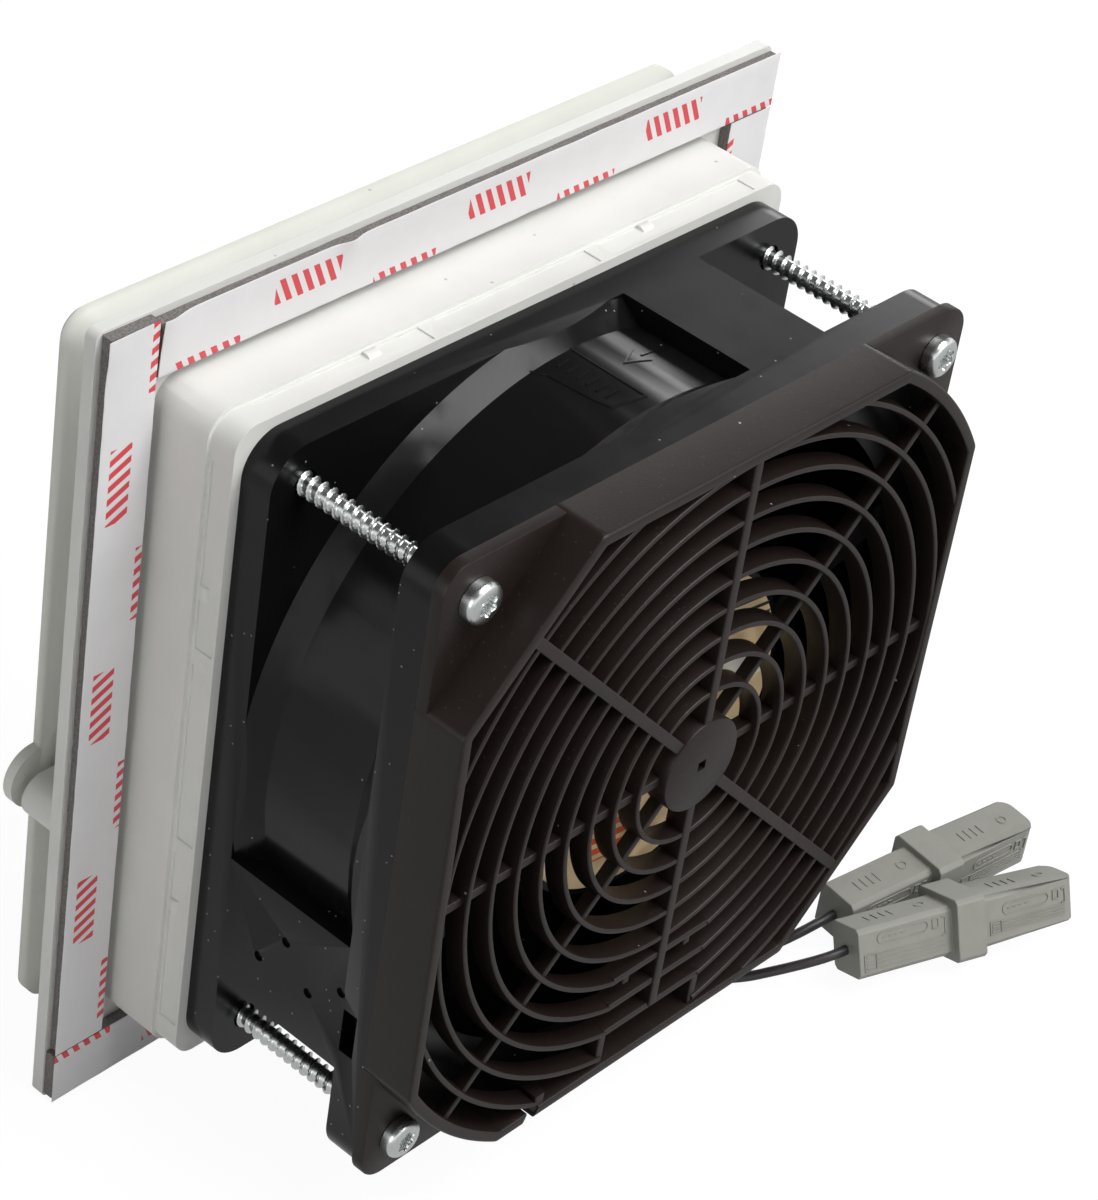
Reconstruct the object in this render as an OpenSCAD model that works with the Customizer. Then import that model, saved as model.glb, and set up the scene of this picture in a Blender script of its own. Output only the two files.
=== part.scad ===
// Filter fan for a cabinet wall: a louvred cover, a filter mat, a mounting frame with sealing tape,
// an axial fan and a finger guard, held together by four long screws.
// Millimetres. +Z is up, +Y points into the cabinet and the louvres face -Y.
// The origin is the centre of the panel cut-out, on the rear face of the mounting flange.

/* [Mounting flange] */
// Thickness of the mounting flange
flange_t = 2.3; // [1.6:0.1:4]
// Corner radius of the mounting flange
flange_corner_r = 1.5; // [0.5:0.1:6]
// Side of the square air opening in the flange
air_opening = 112; // [100:1:113]
// Pitch of the grid that carries the filter mat
grid_pitch = 14; // [8:0.5:20]
// Width of a grid bar
grid_bar_w = 1.2; // [0.8:0.1:2]
// Depth of a grid bar
grid_bar_t = 2; // [1:0.1:2.2]

/* [Duct behind the flange] */
// Outer side of the collar that passes through the panel
collar_side = 124; // [123:0.5:126]
// Depth of the collar
collar_depth = 11.5; // [9:0.5:20]
// Wall of the collar and of the step behind it
collar_wall = 2; // [1.5:0.1:2.5]
// Corner radius of the collar
collar_corner_r = 5; // [3:0.5:8]
// Setback of the step from the collar, on each side
step_inset = 0.7; // [0.3:0.1:1.2]
// Depth of the step
step_depth = 4.9; // [4:0.1:10]
// Thickness of the plate that the fan is screwed to
back_plate_t = 2.5; // [1.8:0.1:3]
// Number of shallow panels along each side of the step
step_panels = 3; // [1:1:6]
// Depth of a shallow panel
panel_depth = 0.3; // [0.1:0.1:0.6]
// Radius of a screw boss
boss_r = 4.2; // [3.6:0.1:5]
// Length of a screw boss in front of the plate
boss_length = 9.4; // [7:0.1:11]

/* [Tray and cover] */
// Outer side of the tray that holds the filter mat
tray_side = 120; // [118:0.5:121]
// Wall of the tray
tray_wall = 1.8; // [1.2:0.1:2.2]
// Depth of the tray
tray_depth = 10.1; // [8:0.1:14]
// Side of the cover plate
cover_side = 134; // [133:0.5:138]
// Thickness of the cover plate
cover_t = 3.1; // [2.4:0.1:4]
// Corner radius of the cover plate
cover_corner_r = 5; // [3:0.5:8]
// Chamfer along the front edge of the cover plate
cover_edge = 1; // [0.4:0.1:1.5]
// Side of the louvre window
louvre_window = 104; // [90:1:108]
// Number of louvre slats
slat_count = 11; // [7:1:12]
// Thickness of a slat, measured upwards
slat_t = 1.6; // [1.2:0.1:2]
// Drop of a slat from its rear edge to its front edge
slat_drop = 7.6; // [3:0.1:8.4]
// Radius of a hinge knuckle
knuckle_r = 2.4; // [2:0.1:2.8]
// Radius of a hinge pin
hinge_pin_r = 1.2; // [0.8:0.1:1.4]
// Length of a cover knuckle
knuckle_length = 7.4; // [5:0.2:14]
// Length of a frame lug
lug_length = 4; // [2.5:0.5:8]
// Height of each hinge above and below the middle
hinge_height = 40; // [20:1:50]
// Radius of the sealing ear on the cover
ear_r = 5.6; // [4:0.1:6.5]
// Radius of the eye in the sealing ear
eye_r = 2; // [1:0.1:2.6]
// Radius of the boss behind the sealing ear
catch_r = 4; // [3:0.1:5]

/* [Sealing tape] */
// Width of the foam tape
tape_w = 10; // [6:0.5:11]
// Thickness of the foam tape
tape_t = 2; // [1:0.1:4]
// Thickness of the paper liner on the tape
liner_t = 0.2; // [0.1:0.05:0.4]
// Distance from the collar to the tape
tape_gap = 1.85; // [1:0.05:4]
// Distance from the flange edge to the tape
tape_margin = 0.4; // [0:0.1:1.2]

/* [Fan] */
// Side of the square fan housing
fan_side = 119; // [118:0.5:120]
// Depth of the fan housing
fan_depth = 38; // [37:0.5:42]
// Pitch of the fan's mounting holes
hole_pitch = 104.8; // [104:0.1:106]
// Radius of the screw clearance holes
screw_hole_r = 2.2; // [2.1:0.05:2.6]
// Thickness of each fan flange
fan_flange_t = 6; // [4:0.5:7]
// Corner radius of the fan flanges
fan_corner_r = 7; // [4:0.5:8]
// Radius of the air bore
fan_bore_r = 56; // [55.5:0.5:57]
// Wall of the barrel around the air bore
barrel_wall = 1.6; // [1.2:0.1:2]
// Radius of the motor plate behind the rotor
motor_plate_r = 30; // [28:0.5:31]
// Thickness of the motor plate and its struts
motor_plate_t = 3; // [2:0.1:3.4]
// Number of struts from the barrel to the motor plate
strut_count = 4; // [3:1:6]
// Width of a strut
strut_w = 5; // [3:0.5:8]

/* [Rotor] */
// Number of blades
blade_count = 7; // [5:1:9]
// Thickness of a blade
blade_t = 1.8; // [1.2:0.1:2.4]
// Gap between the blade tips and the air bore
tip_gap = 1.5; // [1:0.1:3]
// Wall of the impeller hub round the rotor cup
hub_wall = 1.9; // [1.4:0.1:3]
// Thickness of the rotor core between the air gap and the rotor cup
core_wall = 5; // [4:0.5:6]
// Wall of the rotor cup
cup_wall = 1.2; // [0.8:0.1:1.6]
// Radius of the shaft
shaft_r = 2; // [1.5:0.1:2.2]
// Outer radius of the ball bearings
bearing_r = 5.5; // [4.5:0.1:5.8]
// Width of a ball bearing
bearing_w = 4; // [3:0.1:5]
// Outer radius of the stator
stator_r = 25; // [22:0.5:25.5]
// Depth of the stator laminations
stator_depth = 10; // [8:0.5:12]

/* [Finger guard] */
// Depth of the guard behind the fan
guard_depth = 9.6; // [8:0.2:14]
// Thickness of the guard's corner plates
guard_plate_t = 2.2; // [1.6:0.1:3]
// Corner radius of the guard's plate
guard_corner_r = 5; // [3:0.5:7]
// Wall of the raised part of the guard
guard_wall = 2; // [1.4:0.1:2.6]
// How far the circle of the outermost curved wall passes the fan's sides
guard_bulge = 9; // [7.5:0.1:9.5]
// Distance from the centre to the straight corner walls
guard_chamfer_reach = 66.7; // [64:0.1:68]
// Radial pitch of the rings
ring_pitch = 5.43; // [5:0.01:6]
// Number of rings
ring_count = 10; // [8:1:10]
// Width of a ring
ring_w = 1.9; // [1.4:0.1:2.4]
// Depth of a ring
ring_depth = 5.5; // [3:0.1:6]
// Width of a narrow spoke
spoke_w = 1.7; // [1.2:0.1:2.4]
// Width of the high diagonal spoke
high_spoke_w = 2; // [1.4:0.1:3]
// Radius of the central disc
disc_r = 8.5; // [6:0.1:9.5]
// Chamfer along the top edge of the guard's walls
guard_edge = 0.7; // [0.3:0.1:1]

/* [Screws] */
// Radius of the screw shank over its thread
screw_r = 2; // [1.6:0.05:2.05]
// Length of the screws under the head
screw_length = 50; // [46:1:52]
// Radius of the screw head
screw_head_r = 3.5; // [2.8:0.1:4]
// Height of the screw head
screw_head_h = 2.6; // [1.8:0.1:3]

/* [Leads and connectors] */
// Diameter of the two leads
lead_d = 1.8; // [1.2:0.1:2.4]
// Length of the connector in front of its collar
plug_length = 19.5; // [14:0.5:24]
// Width of the connector in front of its collar
plug_w = 8.4; // [7:0.1:9]
// Height of the connector in front of its collar
plug_h = 9.3; // [8:0.1:10]
// Length of the connector's collar
plug_collar_length = 6; // [4:0.5:8]
// Width of the connector's collar
plug_collar_w = 12.2; // [10:0.1:12.2]
// Height of the connector's collar
plug_collar_h = 11.8; // [10.2:0.1:11.8]
// Length of the connector behind its collar
plug_tail_length = 20.5; // [14:0.5:24]

/* [Hidden] */
$fn = 96;
// Facets of a shape that is only blended
blend_fn = 32;
// How far a cut runs past the face that it opens
overrun = 1;
// How far a bar runs into the wall that holds it
weld = 0.8;
// Radial clearance of a running fit
running_fit = 0.05;
// Radial clearance of the shaft in its bearings
bearing_fit = 0.03;
// Radial clearance of a screw thread in its boss
thread_fit = 0.03;
// Clearance of a soft piece from its neighbours
soft_gap = 0.3;
// Gap between the tray's edge and the cover plate
cover_gap = 0.5;

// Places along Y, from the louvres to the top of the guard
flange_front = -flange_t;
tray_front = flange_front - tray_depth;
cover_back = tray_front - cover_gap;
cover_front = cover_back - cover_t;
step_front = collar_depth;
fan_front = collar_depth + step_depth;
back_plate_front = fan_front - back_plate_t;
fan_back = fan_front + fan_depth;
guard_plate_back = fan_back + guard_plate_t;
guard_back = fan_back + guard_depth;
ring_front = guard_back - ring_depth;

// Frame
step_side = collar_side - 2 * step_inset;
tape_inner = collar_side / 2 + tape_gap;
tape_outer = tape_inner + tape_w;
flange_half = tape_outer + tape_margin;
flange_side = 2 * flange_half;
hole_at = hole_pitch / 2;
boss_front = back_plate_front - boss_length;
panel_gap = 3;
panel_margin = 7;
panel_rim = 0.6;
bump_r = 1.3;
bump_rise = 0.3;
bump_share = 0.25;

// Cover and hinge
knuckle_gap = 0.3;
hinge_inset = 3;
hinge_setback = 1;
hinge_x = -(cover_side / 2 - hinge_inset);
hinge_y = (flange_front + cover_back) / 2 - hinge_setback;
lug_at = knuckle_length / 2 + knuckle_gap + lug_length / 2;
mat_rib_rise = 1.1;
slat_back = cover_back + mat_rib_rise;
slat_pitch = louvre_window / slat_count;
mat_rib_w = 1.6;
ear_reach = 0.4;
ear_x = cover_side / 2 + ear_reach;
ear_z = -18.1;
ear_t = 1.9;
eye_inset = 0.2;
eye_drop = 1.4;
eye_x = ear_x - eye_inset;
eye_z = ear_z - eye_drop;
catch_reach = 0.6;
catch_drop = 1.8;
catch_gap = 1.4;
catch_x = ear_x + catch_reach;
catch_z = ear_z - catch_drop;
catch_front = cover_back + catch_gap;
tongue_w = 14;
tongue_t = 1.5;
tongue_depth = 6;
tongue_gap = 0.35;

// Filter mat
mat_side = tray_side - 2 * tray_wall - 2 * soft_gap;
mat_corner_r = collar_corner_r - tray_wall - soft_gap;

// Tape
tape_joint_gap = 0.3;

// Fan housing
fan_half = fan_side / 2;
barrel_r = fan_bore_r + barrel_wall;
flare_rise = 3;
flare_r = barrel_r + flare_rise;
flare_depth = 4;
flange_inner_front = fan_front + fan_flange_t;
flange_inner_back = fan_back - fan_flange_t;
side_block_top = -15.3;
side_block_bottom = -40.1;
top_block_end = -33;
block_depth_share = 1 / 3;
lead_block_x = -17;
lead_block_w = 16;
dimple_r = 0.9;
dimple_depth = 0.5;
dimples = [[-29.9, 7.9], [-23.3, 13.2], [-29.8, 18.8], [-24.9, 25.4]];
slot_from = -27.5;
slot_to = -36;
slot_w = 2.9;
slot_depth = 3;
slot_setback = 2.7;
motor_setback = 1;
motor_plate_back = fan_back - motor_setback;
motor_plate_front = motor_plate_back - motor_plate_t;
strut_turn = 20;
label_margin = 1.2;
label_r = motor_plate_r - label_margin;
label_t = 0.3;

// Rotor and motor
tube_wall = 2;
tube_r = bearing_r + tube_wall;
hub_setback = 5.1;
hub_front = fan_front + hub_setback;
hub_cap_t = 1.5;
hub_gap = 4.4;
hub_back = motor_plate_front - hub_gap;
hub_eye_r = 6;
cup_front = hub_front + hub_cap_t;
cup_boss_r = 5;
cup_boss_t = 2.3;
cup_gap = 3.4;
cup_back = motor_plate_front - cup_gap;
tube_gap = 0.8;
tube_front = cup_front + cup_wall + cup_boss_t + tube_gap;
bearing_front_at = tube_front;
bearing_rear_at = motor_plate_front - bearing_w;
shaft_stub = 1.6;
shaft_back = motor_plate_front + shaft_stub;
ring_t = 0.5;
clip_r = 3.2;
clip_gap = 0.4;
clip_at = motor_plate_front + clip_gap;
stator_shift = 1;
stator_front = (cup_front + motor_plate_front - stator_depth) / 2 + stator_shift;
stator_back = stator_front + stator_depth;
pole_w = 8;
pole_shoe_t = 3.5;
pole_slot_w = 4;
yoke_wall = 4;
yoke_r = tube_r + yoke_wall;
coil_gap = 0.6;
coil_inner_r = yoke_r + coil_gap;
coil_outer_r = stator_r - pole_shoe_t - coil_gap;
coil_w = 16;
coil_overhang = 2.6;
bobbin_t = 2.4;
air_gap = 0.4;
rotor_core_r = stator_r + air_gap;
cup_inner_r = rotor_core_r + core_wall;
cup_r = cup_inner_r + cup_wall;
hub_r = cup_r + hub_wall;
blade_setback = 3;
blade_inset = 0.5;
blade_front = fan_front + blade_setback;
blade_back = hub_back - blade_inset;
blade_arc_r = 34;
blade_tip_r = fan_bore_r - tip_gap;
blade_root_r = hub_r - 1;

// Finger guard
guard_rim_r = fan_half + guard_bulge;
ring_drop = 0.2;
spoke_drop = 1.3;
guard_slot_half = 11.5;
bar_w = 1.3;
bar_drop = 0.4;
bar_ledge_w = 1.1;
bar_ledge_drop = 1.7;
bar_rings = [5, 4, 3];
nub_r = 0.8;
nub_drop = 1;
nub_at = 7.5;
disc_hole = 1.8;
hook_x = 26;
hook_w = 2.4;
hook_depth = 2;
hook_slot_w = 2.8;
hook_slot_depth = 5;

// Screws
socket_r = 1.5;
socket_depth = 1.5;
head_crown = 1;

// Leads and connectors: routes in row coordinates
grommet_w = 11;
grommet_depth = 6;
grommet_drop = 3;
lead_y = 36;
LEAD_1_ROUTE = [
    [-14, 36, -62.5], [-14, 36.2, -65], [-14.6, 36.8, -67.6], [-16.2, 38, -70], [-18.8, 40, -72],
    [-22, 42.6, -73.1], [-26, 46, -73.3], [-30, 49.5, -73.3], [-34, 53, -73], [-37.6, 56.6, -72],
    [-40.6, 59.8, -70.2], [-43.4, 62.4, -68.7], [-46, 64.4, -67.6], [-48.6, 65.9, -66.8], [-51.4, 66.9, -66.3]
];
LEAD_2_ROUTE = [
    [-20, 36, -62.5], [-20, 36.2, -65], [-20.8, 36.8, -67.8], [-22.8, 38, -70.4], [-26, 39.9, -72.3],
    [-30, 42.4, -73.2], [-34.5, 45.3, -73.3], [-39, 48.4, -73.3], [-43.5, 51.6, -73], [-47.6, 54.4, -71.8],
    [-51.4, 56.5, -69.9], [-55, 57.7, -68.7], [-59, 58.3, -68.35]
];
lead_sides = 8;
plug_1_yaw = 19;
plug_1_roll = 25;
plug_2_yaw = 8;
plug_2_roll = 0;
plug_chamfer = 0.8;
plug_tail_w = 8.8;
plug_tail_h = 8;
plug_tail_root_w = 9.8;
plug_tail_root_h = 9.6;
plug_tail_end_r = 2.5;

// A flat outline in X and Z, raised between two places along Y
module slab(y0, y1) {
    translate([0, y1, 0]) rotate([90, 0, 0]) linear_extrude(y1 - y0) children();
}

// A flat outline in Y and Z, raised between two places along X
module bar_x(x0, x1) {
    translate([x0, 0, 0]) rotate([90, 0, 90]) linear_extrude(x1 - x0) children();
}

// A profile in radius and Y, turned about the fan's axis
module lathe_y() {
    rotate([-90, 0, 0]) rotate_extrude() children();
}

// A round bar along Y
module rod_y(r, y0, y1) {
    translate([0, y0, 0]) rotate([-90, 0, 0]) cylinder(r = r, h = y1 - y0);
}

// A ring along Y with a plain bore
module ring_y(outer, inner, y0, y1) {
    lathe_y() translate([inner, y0]) square([outer - inner, y1 - y0]);
}

module rounded_square(side, r) {
    square([side, side - 2 * r], center = true);
    square([side - 2 * r, side], center = true);
    for (sx = [-1, 1], sz = [-1, 1])
        translate([sx * (side / 2 - r), sz * (side / 2 - r)]) circle(r);
}

module at_corners() {
    for (sx = [-1, 1], sz = [-1, 1]) translate([sx * hole_at, 0, sz * hole_at]) children();
}

// The mounting flange and its air opening
module frame_flange() {
    difference() {
        slab(flange_front, 0) rounded_square(flange_side, flange_corner_r);
        slab(flange_front - overrun, overrun) square(air_opening, center = true);
    }
}

// The grid across the air opening that carries the filter mat
module mat_grid() {
    bars = floor((air_opening / grid_pitch - 1) / 2);
    color([0.8, 0.8, 0.78]) for (i = [-bars : bars]) slab(flange_front, flange_front + grid_bar_t) {
        translate([i * grid_pitch, 0]) square([grid_bar_w, air_opening], center = true);
        translate([0, i * grid_pitch]) square([air_opening, grid_bar_w], center = true);
    }
}

// The collar, the step behind it and the plate that the fan is screwed to
module frame_duct() {
    difference() {
        union() {
            slab(-weld, collar_depth) rounded_square(collar_side, collar_corner_r);
            slab(step_front - weld, fan_front) rounded_square(step_side, collar_corner_r - step_inset);
        }
        slab(-weld - overrun, step_front)
            rounded_square(collar_side - 2 * collar_wall, collar_corner_r - collar_wall);
        slab(step_front - overrun, back_plate_front)
            rounded_square(step_side - 2 * collar_wall, collar_corner_r - step_inset - collar_wall);
        rod_y(fan_bore_r, back_plate_front - overrun, fan_front + overrun);
        step_relief();
    }
    for (turn = [0 : 90 : 270], side = [-1, 1]) rotate([0, turn, 0])
        translate([side * bump_share * step_side, step_front + bump_r, step_side / 2 - bump_r + bump_rise])
            rotate([0, 90, 0]) cylinder(r = bump_r, h = 2 * bump_r, center = true);
}

// Shallow panels round the step
module step_relief() {
    run = step_side - 2 * panel_margin;
    panel = (run - (step_panels - 1) * panel_gap) / step_panels;
    for (turn = [0 : 90 : 270], i = [0 : step_panels - 1]) rotate([0, turn, 0])
        translate([-run / 2 + i * (panel + panel_gap), step_front + panel_rim, step_side / 2 - panel_depth])
            cube([panel, step_depth - 2 * panel_rim, panel_depth + overrun]);
}

module frame_tray() {
    difference() {
        slab(tray_front, flange_front + weld) rounded_square(tray_side, collar_corner_r);
        slab(tray_front - overrun, flange_front + weld + overrun)
            rounded_square(tray_side - 2 * tray_wall, collar_corner_r - tray_wall);
    }
}

// The half-round boss behind the cover's sealing ear
module frame_catch() {
    slab(catch_front, flange_front + weld) {
        translate([catch_x, catch_z]) circle(catch_r);
        translate([tray_side / 2 - weld, catch_z - catch_r])
            square([catch_x - tray_side / 2 + weld, 2 * catch_r]);
    }
}

// An arm of the hinge: round about the pin and flat towards the piece that carries it
module hinge_arm(length, root_y) {
    translate([0, 0, -length / 2]) linear_extrude(length) {
        translate([hinge_x, hinge_y]) circle(knuckle_r);
        translate([hinge_x - knuckle_r, min(hinge_y, root_y)])
            square([2 * knuckle_r, abs(root_y - hinge_y)]);
    }
}

module frame_lugs() {
    for (side = [-1, 1], end = [-1, 1])
        translate([0, 0, side * hinge_height + end * lug_at]) hinge_arm(lug_length, flange_front + weld);
}

module hinge_bore(r) {
    translate([hinge_x, hinge_y, 0]) cylinder(r = r, h = cover_side, center = true);
}

module base_frame() {
    color([0.8, 0.8, 0.78]) difference() {
        union() {
            frame_flange();
            frame_duct();
            frame_tray();
            frame_catch();
            frame_lugs();
            at_corners() rod_y(boss_r, boss_front, back_plate_front + weld);
        }
        at_corners() rod_y(screw_r + thread_fit, boss_front - overrun, fan_front + overrun);
        hinge_bore(hinge_pin_r);
    }
}

module hinge_pins() {
    pin_length = 2 * (lug_at + lug_length / 2);
    color([0.75, 0.76, 0.78]) for (side = [-1, 1])
        translate([hinge_x, hinge_y, side * hinge_height]) cylinder(r = hinge_pin_r, h = pin_length, center = true);
}

// The cover plate with a chamfer along its front edge
module cover_plate() {
    hull() {
        slab(cover_front, cover_back - cover_t / 2)
            rounded_square(cover_side - 2 * cover_edge, cover_corner_r - cover_edge, $fn = blend_fn);
        slab(cover_front + cover_edge, cover_back)
            rounded_square(cover_side, cover_corner_r, $fn = blend_fn);
    }
}

module cover_slats() {
    for (i = [0 : slat_count - 1]) {
        z = (i - (slat_count - 1) / 2) * slat_pitch;
        bar_x(-louvre_window / 2 - weld, louvre_window / 2 + weld) polygon([
            [cover_front, z - slat_drop / 2 - slat_t / 2], [cover_front, z - slat_drop / 2 + slat_t / 2],
            [slat_back, z + slat_drop / 2 + slat_t / 2], [slat_back, z + slat_drop / 2 - slat_t / 2]
        ]);
    }
}

// A springy tongue that hooks over the tray's wall
module cover_tongue() {
    x = tray_side / 2 + tongue_gap;
    translate([x, cover_back - weld, -tongue_w / 2]) cube([tongue_t, tongue_depth + weld, tongue_w]);
}

module louvre_cover() {
    color([0.78, 0.79, 0.75]) difference() {
        union() {
            difference() {
                union() {
                    cover_plate();
                    slab(cover_back - weld, slat_back)
                        square(louvre_window + 2 * mat_rib_w, center = true);
                    slab(cover_back - ear_t, cover_back) {
                        translate([ear_x, ear_z]) circle(ear_r);
                    }
                }
                slab(cover_front - overrun, slat_back + overrun) square(louvre_window, center = true);
            }
            cover_slats();
            cover_tongue();
            for (side = [-1, 1]) translate([0, 0, side * hinge_height])
                hinge_arm(knuckle_length, cover_back - weld);
        }
        hinge_bore(hinge_pin_r + running_fit);
        translate([eye_x, 0, eye_z]) rod_y(eye_r, cover_front - overrun, cover_back + overrun);
    }
}

module filter_mat() {
    color([0.93, 0.93, 0.9])
        slab(slat_back + soft_gap, flange_front - soft_gap) rounded_square(mat_side, mat_corner_r);
}

// One strip of tape along a side of the flange; each next one is turned by a quarter
module tape_strip(quarter, y0, y1) {
    slab(y0, y1) rotate(quarter * 90) translate([tape_inner, -tape_inner + tape_joint_gap])
        square([tape_w, tape_outer + tape_inner - tape_joint_gap]);
}

module gasket(quarter) {
    color([0.2, 0.19, 0.22]) tape_strip(quarter, 0, tape_t);
}

module liner(quarter) {
    color([0.95, 0.95, 0.95]) tape_strip(quarter, tape_t, tape_t + liner_t);
}

module gasket_latch_side() { gasket(0); }
module gasket_top() { gasket(1); }
module gasket_hinge_side() { gasket(2); }
module gasket_bottom() { gasket(3); }
module liner_latch_side() { liner(0); }
module liner_top() { liner(1); }
module liner_hinge_side() { liner(2); }
module liner_bottom() { liner(3); }

// The barrel with a flare that runs out into each flange
module fan_barrel() {
    intersection() {
        lathe_y() polygon([
            [barrel_r - overrun, fan_front], [flare_r, fan_front], [flare_r, flange_inner_front],
            [barrel_r, flange_inner_front + flare_depth], [barrel_r, flange_inner_back - flare_depth],
            [flare_r, flange_inner_back], [flare_r, fan_back], [barrel_r - overrun, fan_back]
        ]);
        slab(fan_front, fan_back) square(fan_side, center = true);
    }
    ring_y(barrel_r, barrel_r - overrun, fan_front, fan_back);
}

// Flat blocks that fill the side, the top and the lead exit out to the flanges
module fan_blocks() {
    depth = barrel_r * block_depth_share;
    slab(flange_inner_front - weld, flange_inner_back + weld) {
        translate([fan_half - depth, side_block_bottom]) square([depth, side_block_top - side_block_bottom]);
        translate([top_block_end, fan_half - depth]) square([side_block_top - top_block_end, depth]);
        translate([lead_block_x - lead_block_w / 2, -fan_half]) square([lead_block_w, depth]);
    }
}

module motor_mount() {
    difference() {
        union() {
            rod_y(motor_plate_r, motor_plate_front, motor_plate_back);
            rod_y(tube_r, tube_front, motor_plate_front + weld);
            for (i = [0 : strut_count - 1]) rotate([0, strut_turn + i * 360 / strut_count, 0])
                translate([motor_plate_r - weld, motor_plate_front, -strut_w / 2])
                    cube([fan_bore_r + barrel_wall / 2 - motor_plate_r + weld, motor_plate_t, strut_w]);
        }
        rod_y(bearing_r, tube_front - overrun, motor_plate_back + overrun);
    }
}

module fan_housing() {
    color([0.09, 0.09, 0.1]) {
        difference() {
            union() {
                slab(fan_front, flange_inner_front) rounded_square(fan_side, fan_corner_r);
                slab(flange_inner_back, fan_back) rounded_square(fan_side, fan_corner_r);
                fan_barrel();
                fan_blocks();
            }
            rod_y(fan_bore_r, fan_front - overrun, fan_back + overrun);
            at_corners() rod_y(screw_hole_r, fan_front - overrun, fan_back + overrun);
            translate([fan_half - slot_depth, fan_back - slot_setback - slot_w, slot_to])
                cube([slot_depth + overrun, slot_w, slot_from - slot_to]);
            for (d = dimples) translate([fan_half - dimple_depth, flange_inner_front + d[1], d[0]])
                rotate([0, 90, 0]) cylinder(r = dimple_r, h = dimple_depth + overrun);
        }
        motor_mount();
    }
}

module motor_label() {
    color([0.82, 0.68, 0.45]) rod_y(label_r, motor_plate_back, motor_plate_back + label_t);
}

// Ring laminations with four poles that point outwards
module stator_core() {
    color([0.5, 0.5, 0.52]) difference() {
        union() {
            ring_y(yoke_r, tube_r, stator_front, stator_back);
            ring_y(stator_r, stator_r - pole_shoe_t, stator_front, stator_back);
            for (turn = [0 : 90 : 270]) rotate([0, turn, 0])
                translate([yoke_r - weld, stator_front, -pole_w / 2])
                    cube([stator_r - yoke_r - pole_shoe_t + 2 * weld, stator_depth, pole_w]);
        }
        for (turn = [45 : 90 : 315]) rotate([0, turn, 0])
            translate([yoke_r + weld, stator_front - overrun, -pole_slot_w / 2])
                cube([stator_r, stator_depth + 2 * overrun, pole_slot_w]);
    }
}

module stator_coils() {
    color([0.72, 0.4, 0.2]) for (turn = [0 : 90 : 270]) rotate([0, turn, 0]) difference() {
        translate([coil_inner_r, stator_front - coil_overhang, -coil_w / 2])
            cube([coil_outer_r - coil_inner_r, stator_depth + 2 * coil_overhang, coil_w]);
        translate([coil_inner_r - overrun, stator_front, -pole_w / 2])
            cube([coil_outer_r - coil_inner_r + 2 * overrun, stator_depth, pole_w]);
        lathe_y() translate([coil_outer_r, stator_front - coil_overhang - overrun])
            square([coil_w, stator_depth + 2 * (coil_overhang + overrun)]);
    }
}

module coil_bobbin() {
    color([0.9, 0.88, 0.8]) for (y0 = [stator_front - bobbin_t, stator_back])
        ring_y(yoke_r, tube_r, y0, y0 + bobbin_t);
}

module bearing(y0) {
    color([0.7, 0.71, 0.73]) ring_y(bearing_r, shaft_r + bearing_fit, y0, y0 + bearing_w);
}

module bearing_front() { bearing(bearing_front_at); }
module bearing_rear() { bearing(bearing_rear_at); }

// A blade is a strip of a thin tube whose axis points outwards along the blade
module blade() {
    intersection() {
        ring_y(blade_tip_r, blade_root_r, blade_front, blade_back);
        translate([0, blade_back, -blade_arc_r + blade_t]) rotate([0, 90, 0]) difference() {
            cylinder(r = blade_arc_r, h = fan_bore_r);
            cylinder(r = blade_arc_r - blade_t, h = fan_bore_r);
        }
        translate([0, blade_front, -blade_arc_r / 2]) cube([fan_bore_r, blade_back - blade_front, blade_arc_r]);
    }
}

module impeller() {
    color([0.1, 0.1, 0.11]) {
        ring_y(hub_r, hub_eye_r, hub_front, cup_front);
        ring_y(hub_r, cup_r, hub_front, hub_back);
        for (i = [0 : blade_count - 1]) rotate([0, i * 360 / blade_count, 0]) blade();
    }
}

module rotor_cup() {
    color([0.45, 0.46, 0.48]) {
        ring_y(cup_r, shaft_r, cup_front, cup_front + cup_wall);
        ring_y(cup_r, cup_inner_r, cup_front, cup_back);
        ring_y(cup_boss_r, shaft_r, cup_front, cup_front + cup_wall + cup_boss_t);
    }
}

module rotor_core() {
    color([0.4, 0.4, 0.42]) ring_y(cup_inner_r, rotor_core_r, stator_front, stator_back);
}

module rotor_shaft() {
    color([0.78, 0.79, 0.8]) rod_y(shaft_r, cup_front, shaft_back);
}

module retaining_ring() {
    color([0.35, 0.35, 0.37]) ring_y(clip_r, shaft_r, clip_at, clip_at + ring_t);
}

// The raised part of the guard: a square with two straight and two curved corners
module guard_outline(inset) {
    half = fan_half - inset;
    cut = sqrt(2) * (guard_chamfer_reach - inset) - half;
    intersection() {
        polygon([[half, cut], [cut, half], [-half, half], [-half, -cut], [-cut, -half], [half, -half]]);
        circle(guard_rim_r + guard_wall / 2 - inset, $fn = 180);
    }
}

// The section that a chamfer takes off, drawn outwards and upwards from the edge
module edge_section() {
    reach = guard_edge + overrun;
    polygon([[-reach, overrun], [overrun, overrun], [overrun, -reach]]);
}

module straight_edge_cut(turn, reach) {
    rotate([0, turn, 0]) translate([reach, guard_back, 0])
        linear_extrude(2 * fan_side, center = true) edge_section();
}

// A chamfer along the guard's top edge: the four sides, the two straight corners and the two curved ones
module guard_edge_cut() {
    for (turn = [0 : 90 : 270]) straight_edge_cut(turn, fan_half);
    for (turn = [-45, 135]) straight_edge_cut(turn, guard_chamfer_reach);
    intersection() {
        lathe_y() translate([guard_rim_r + guard_wall / 2, guard_back]) edge_section();
        rotate([0, 45, 0]) cube([2 * fan_side, 4 * fan_side, fan_side], center = true);
    }
}

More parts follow.
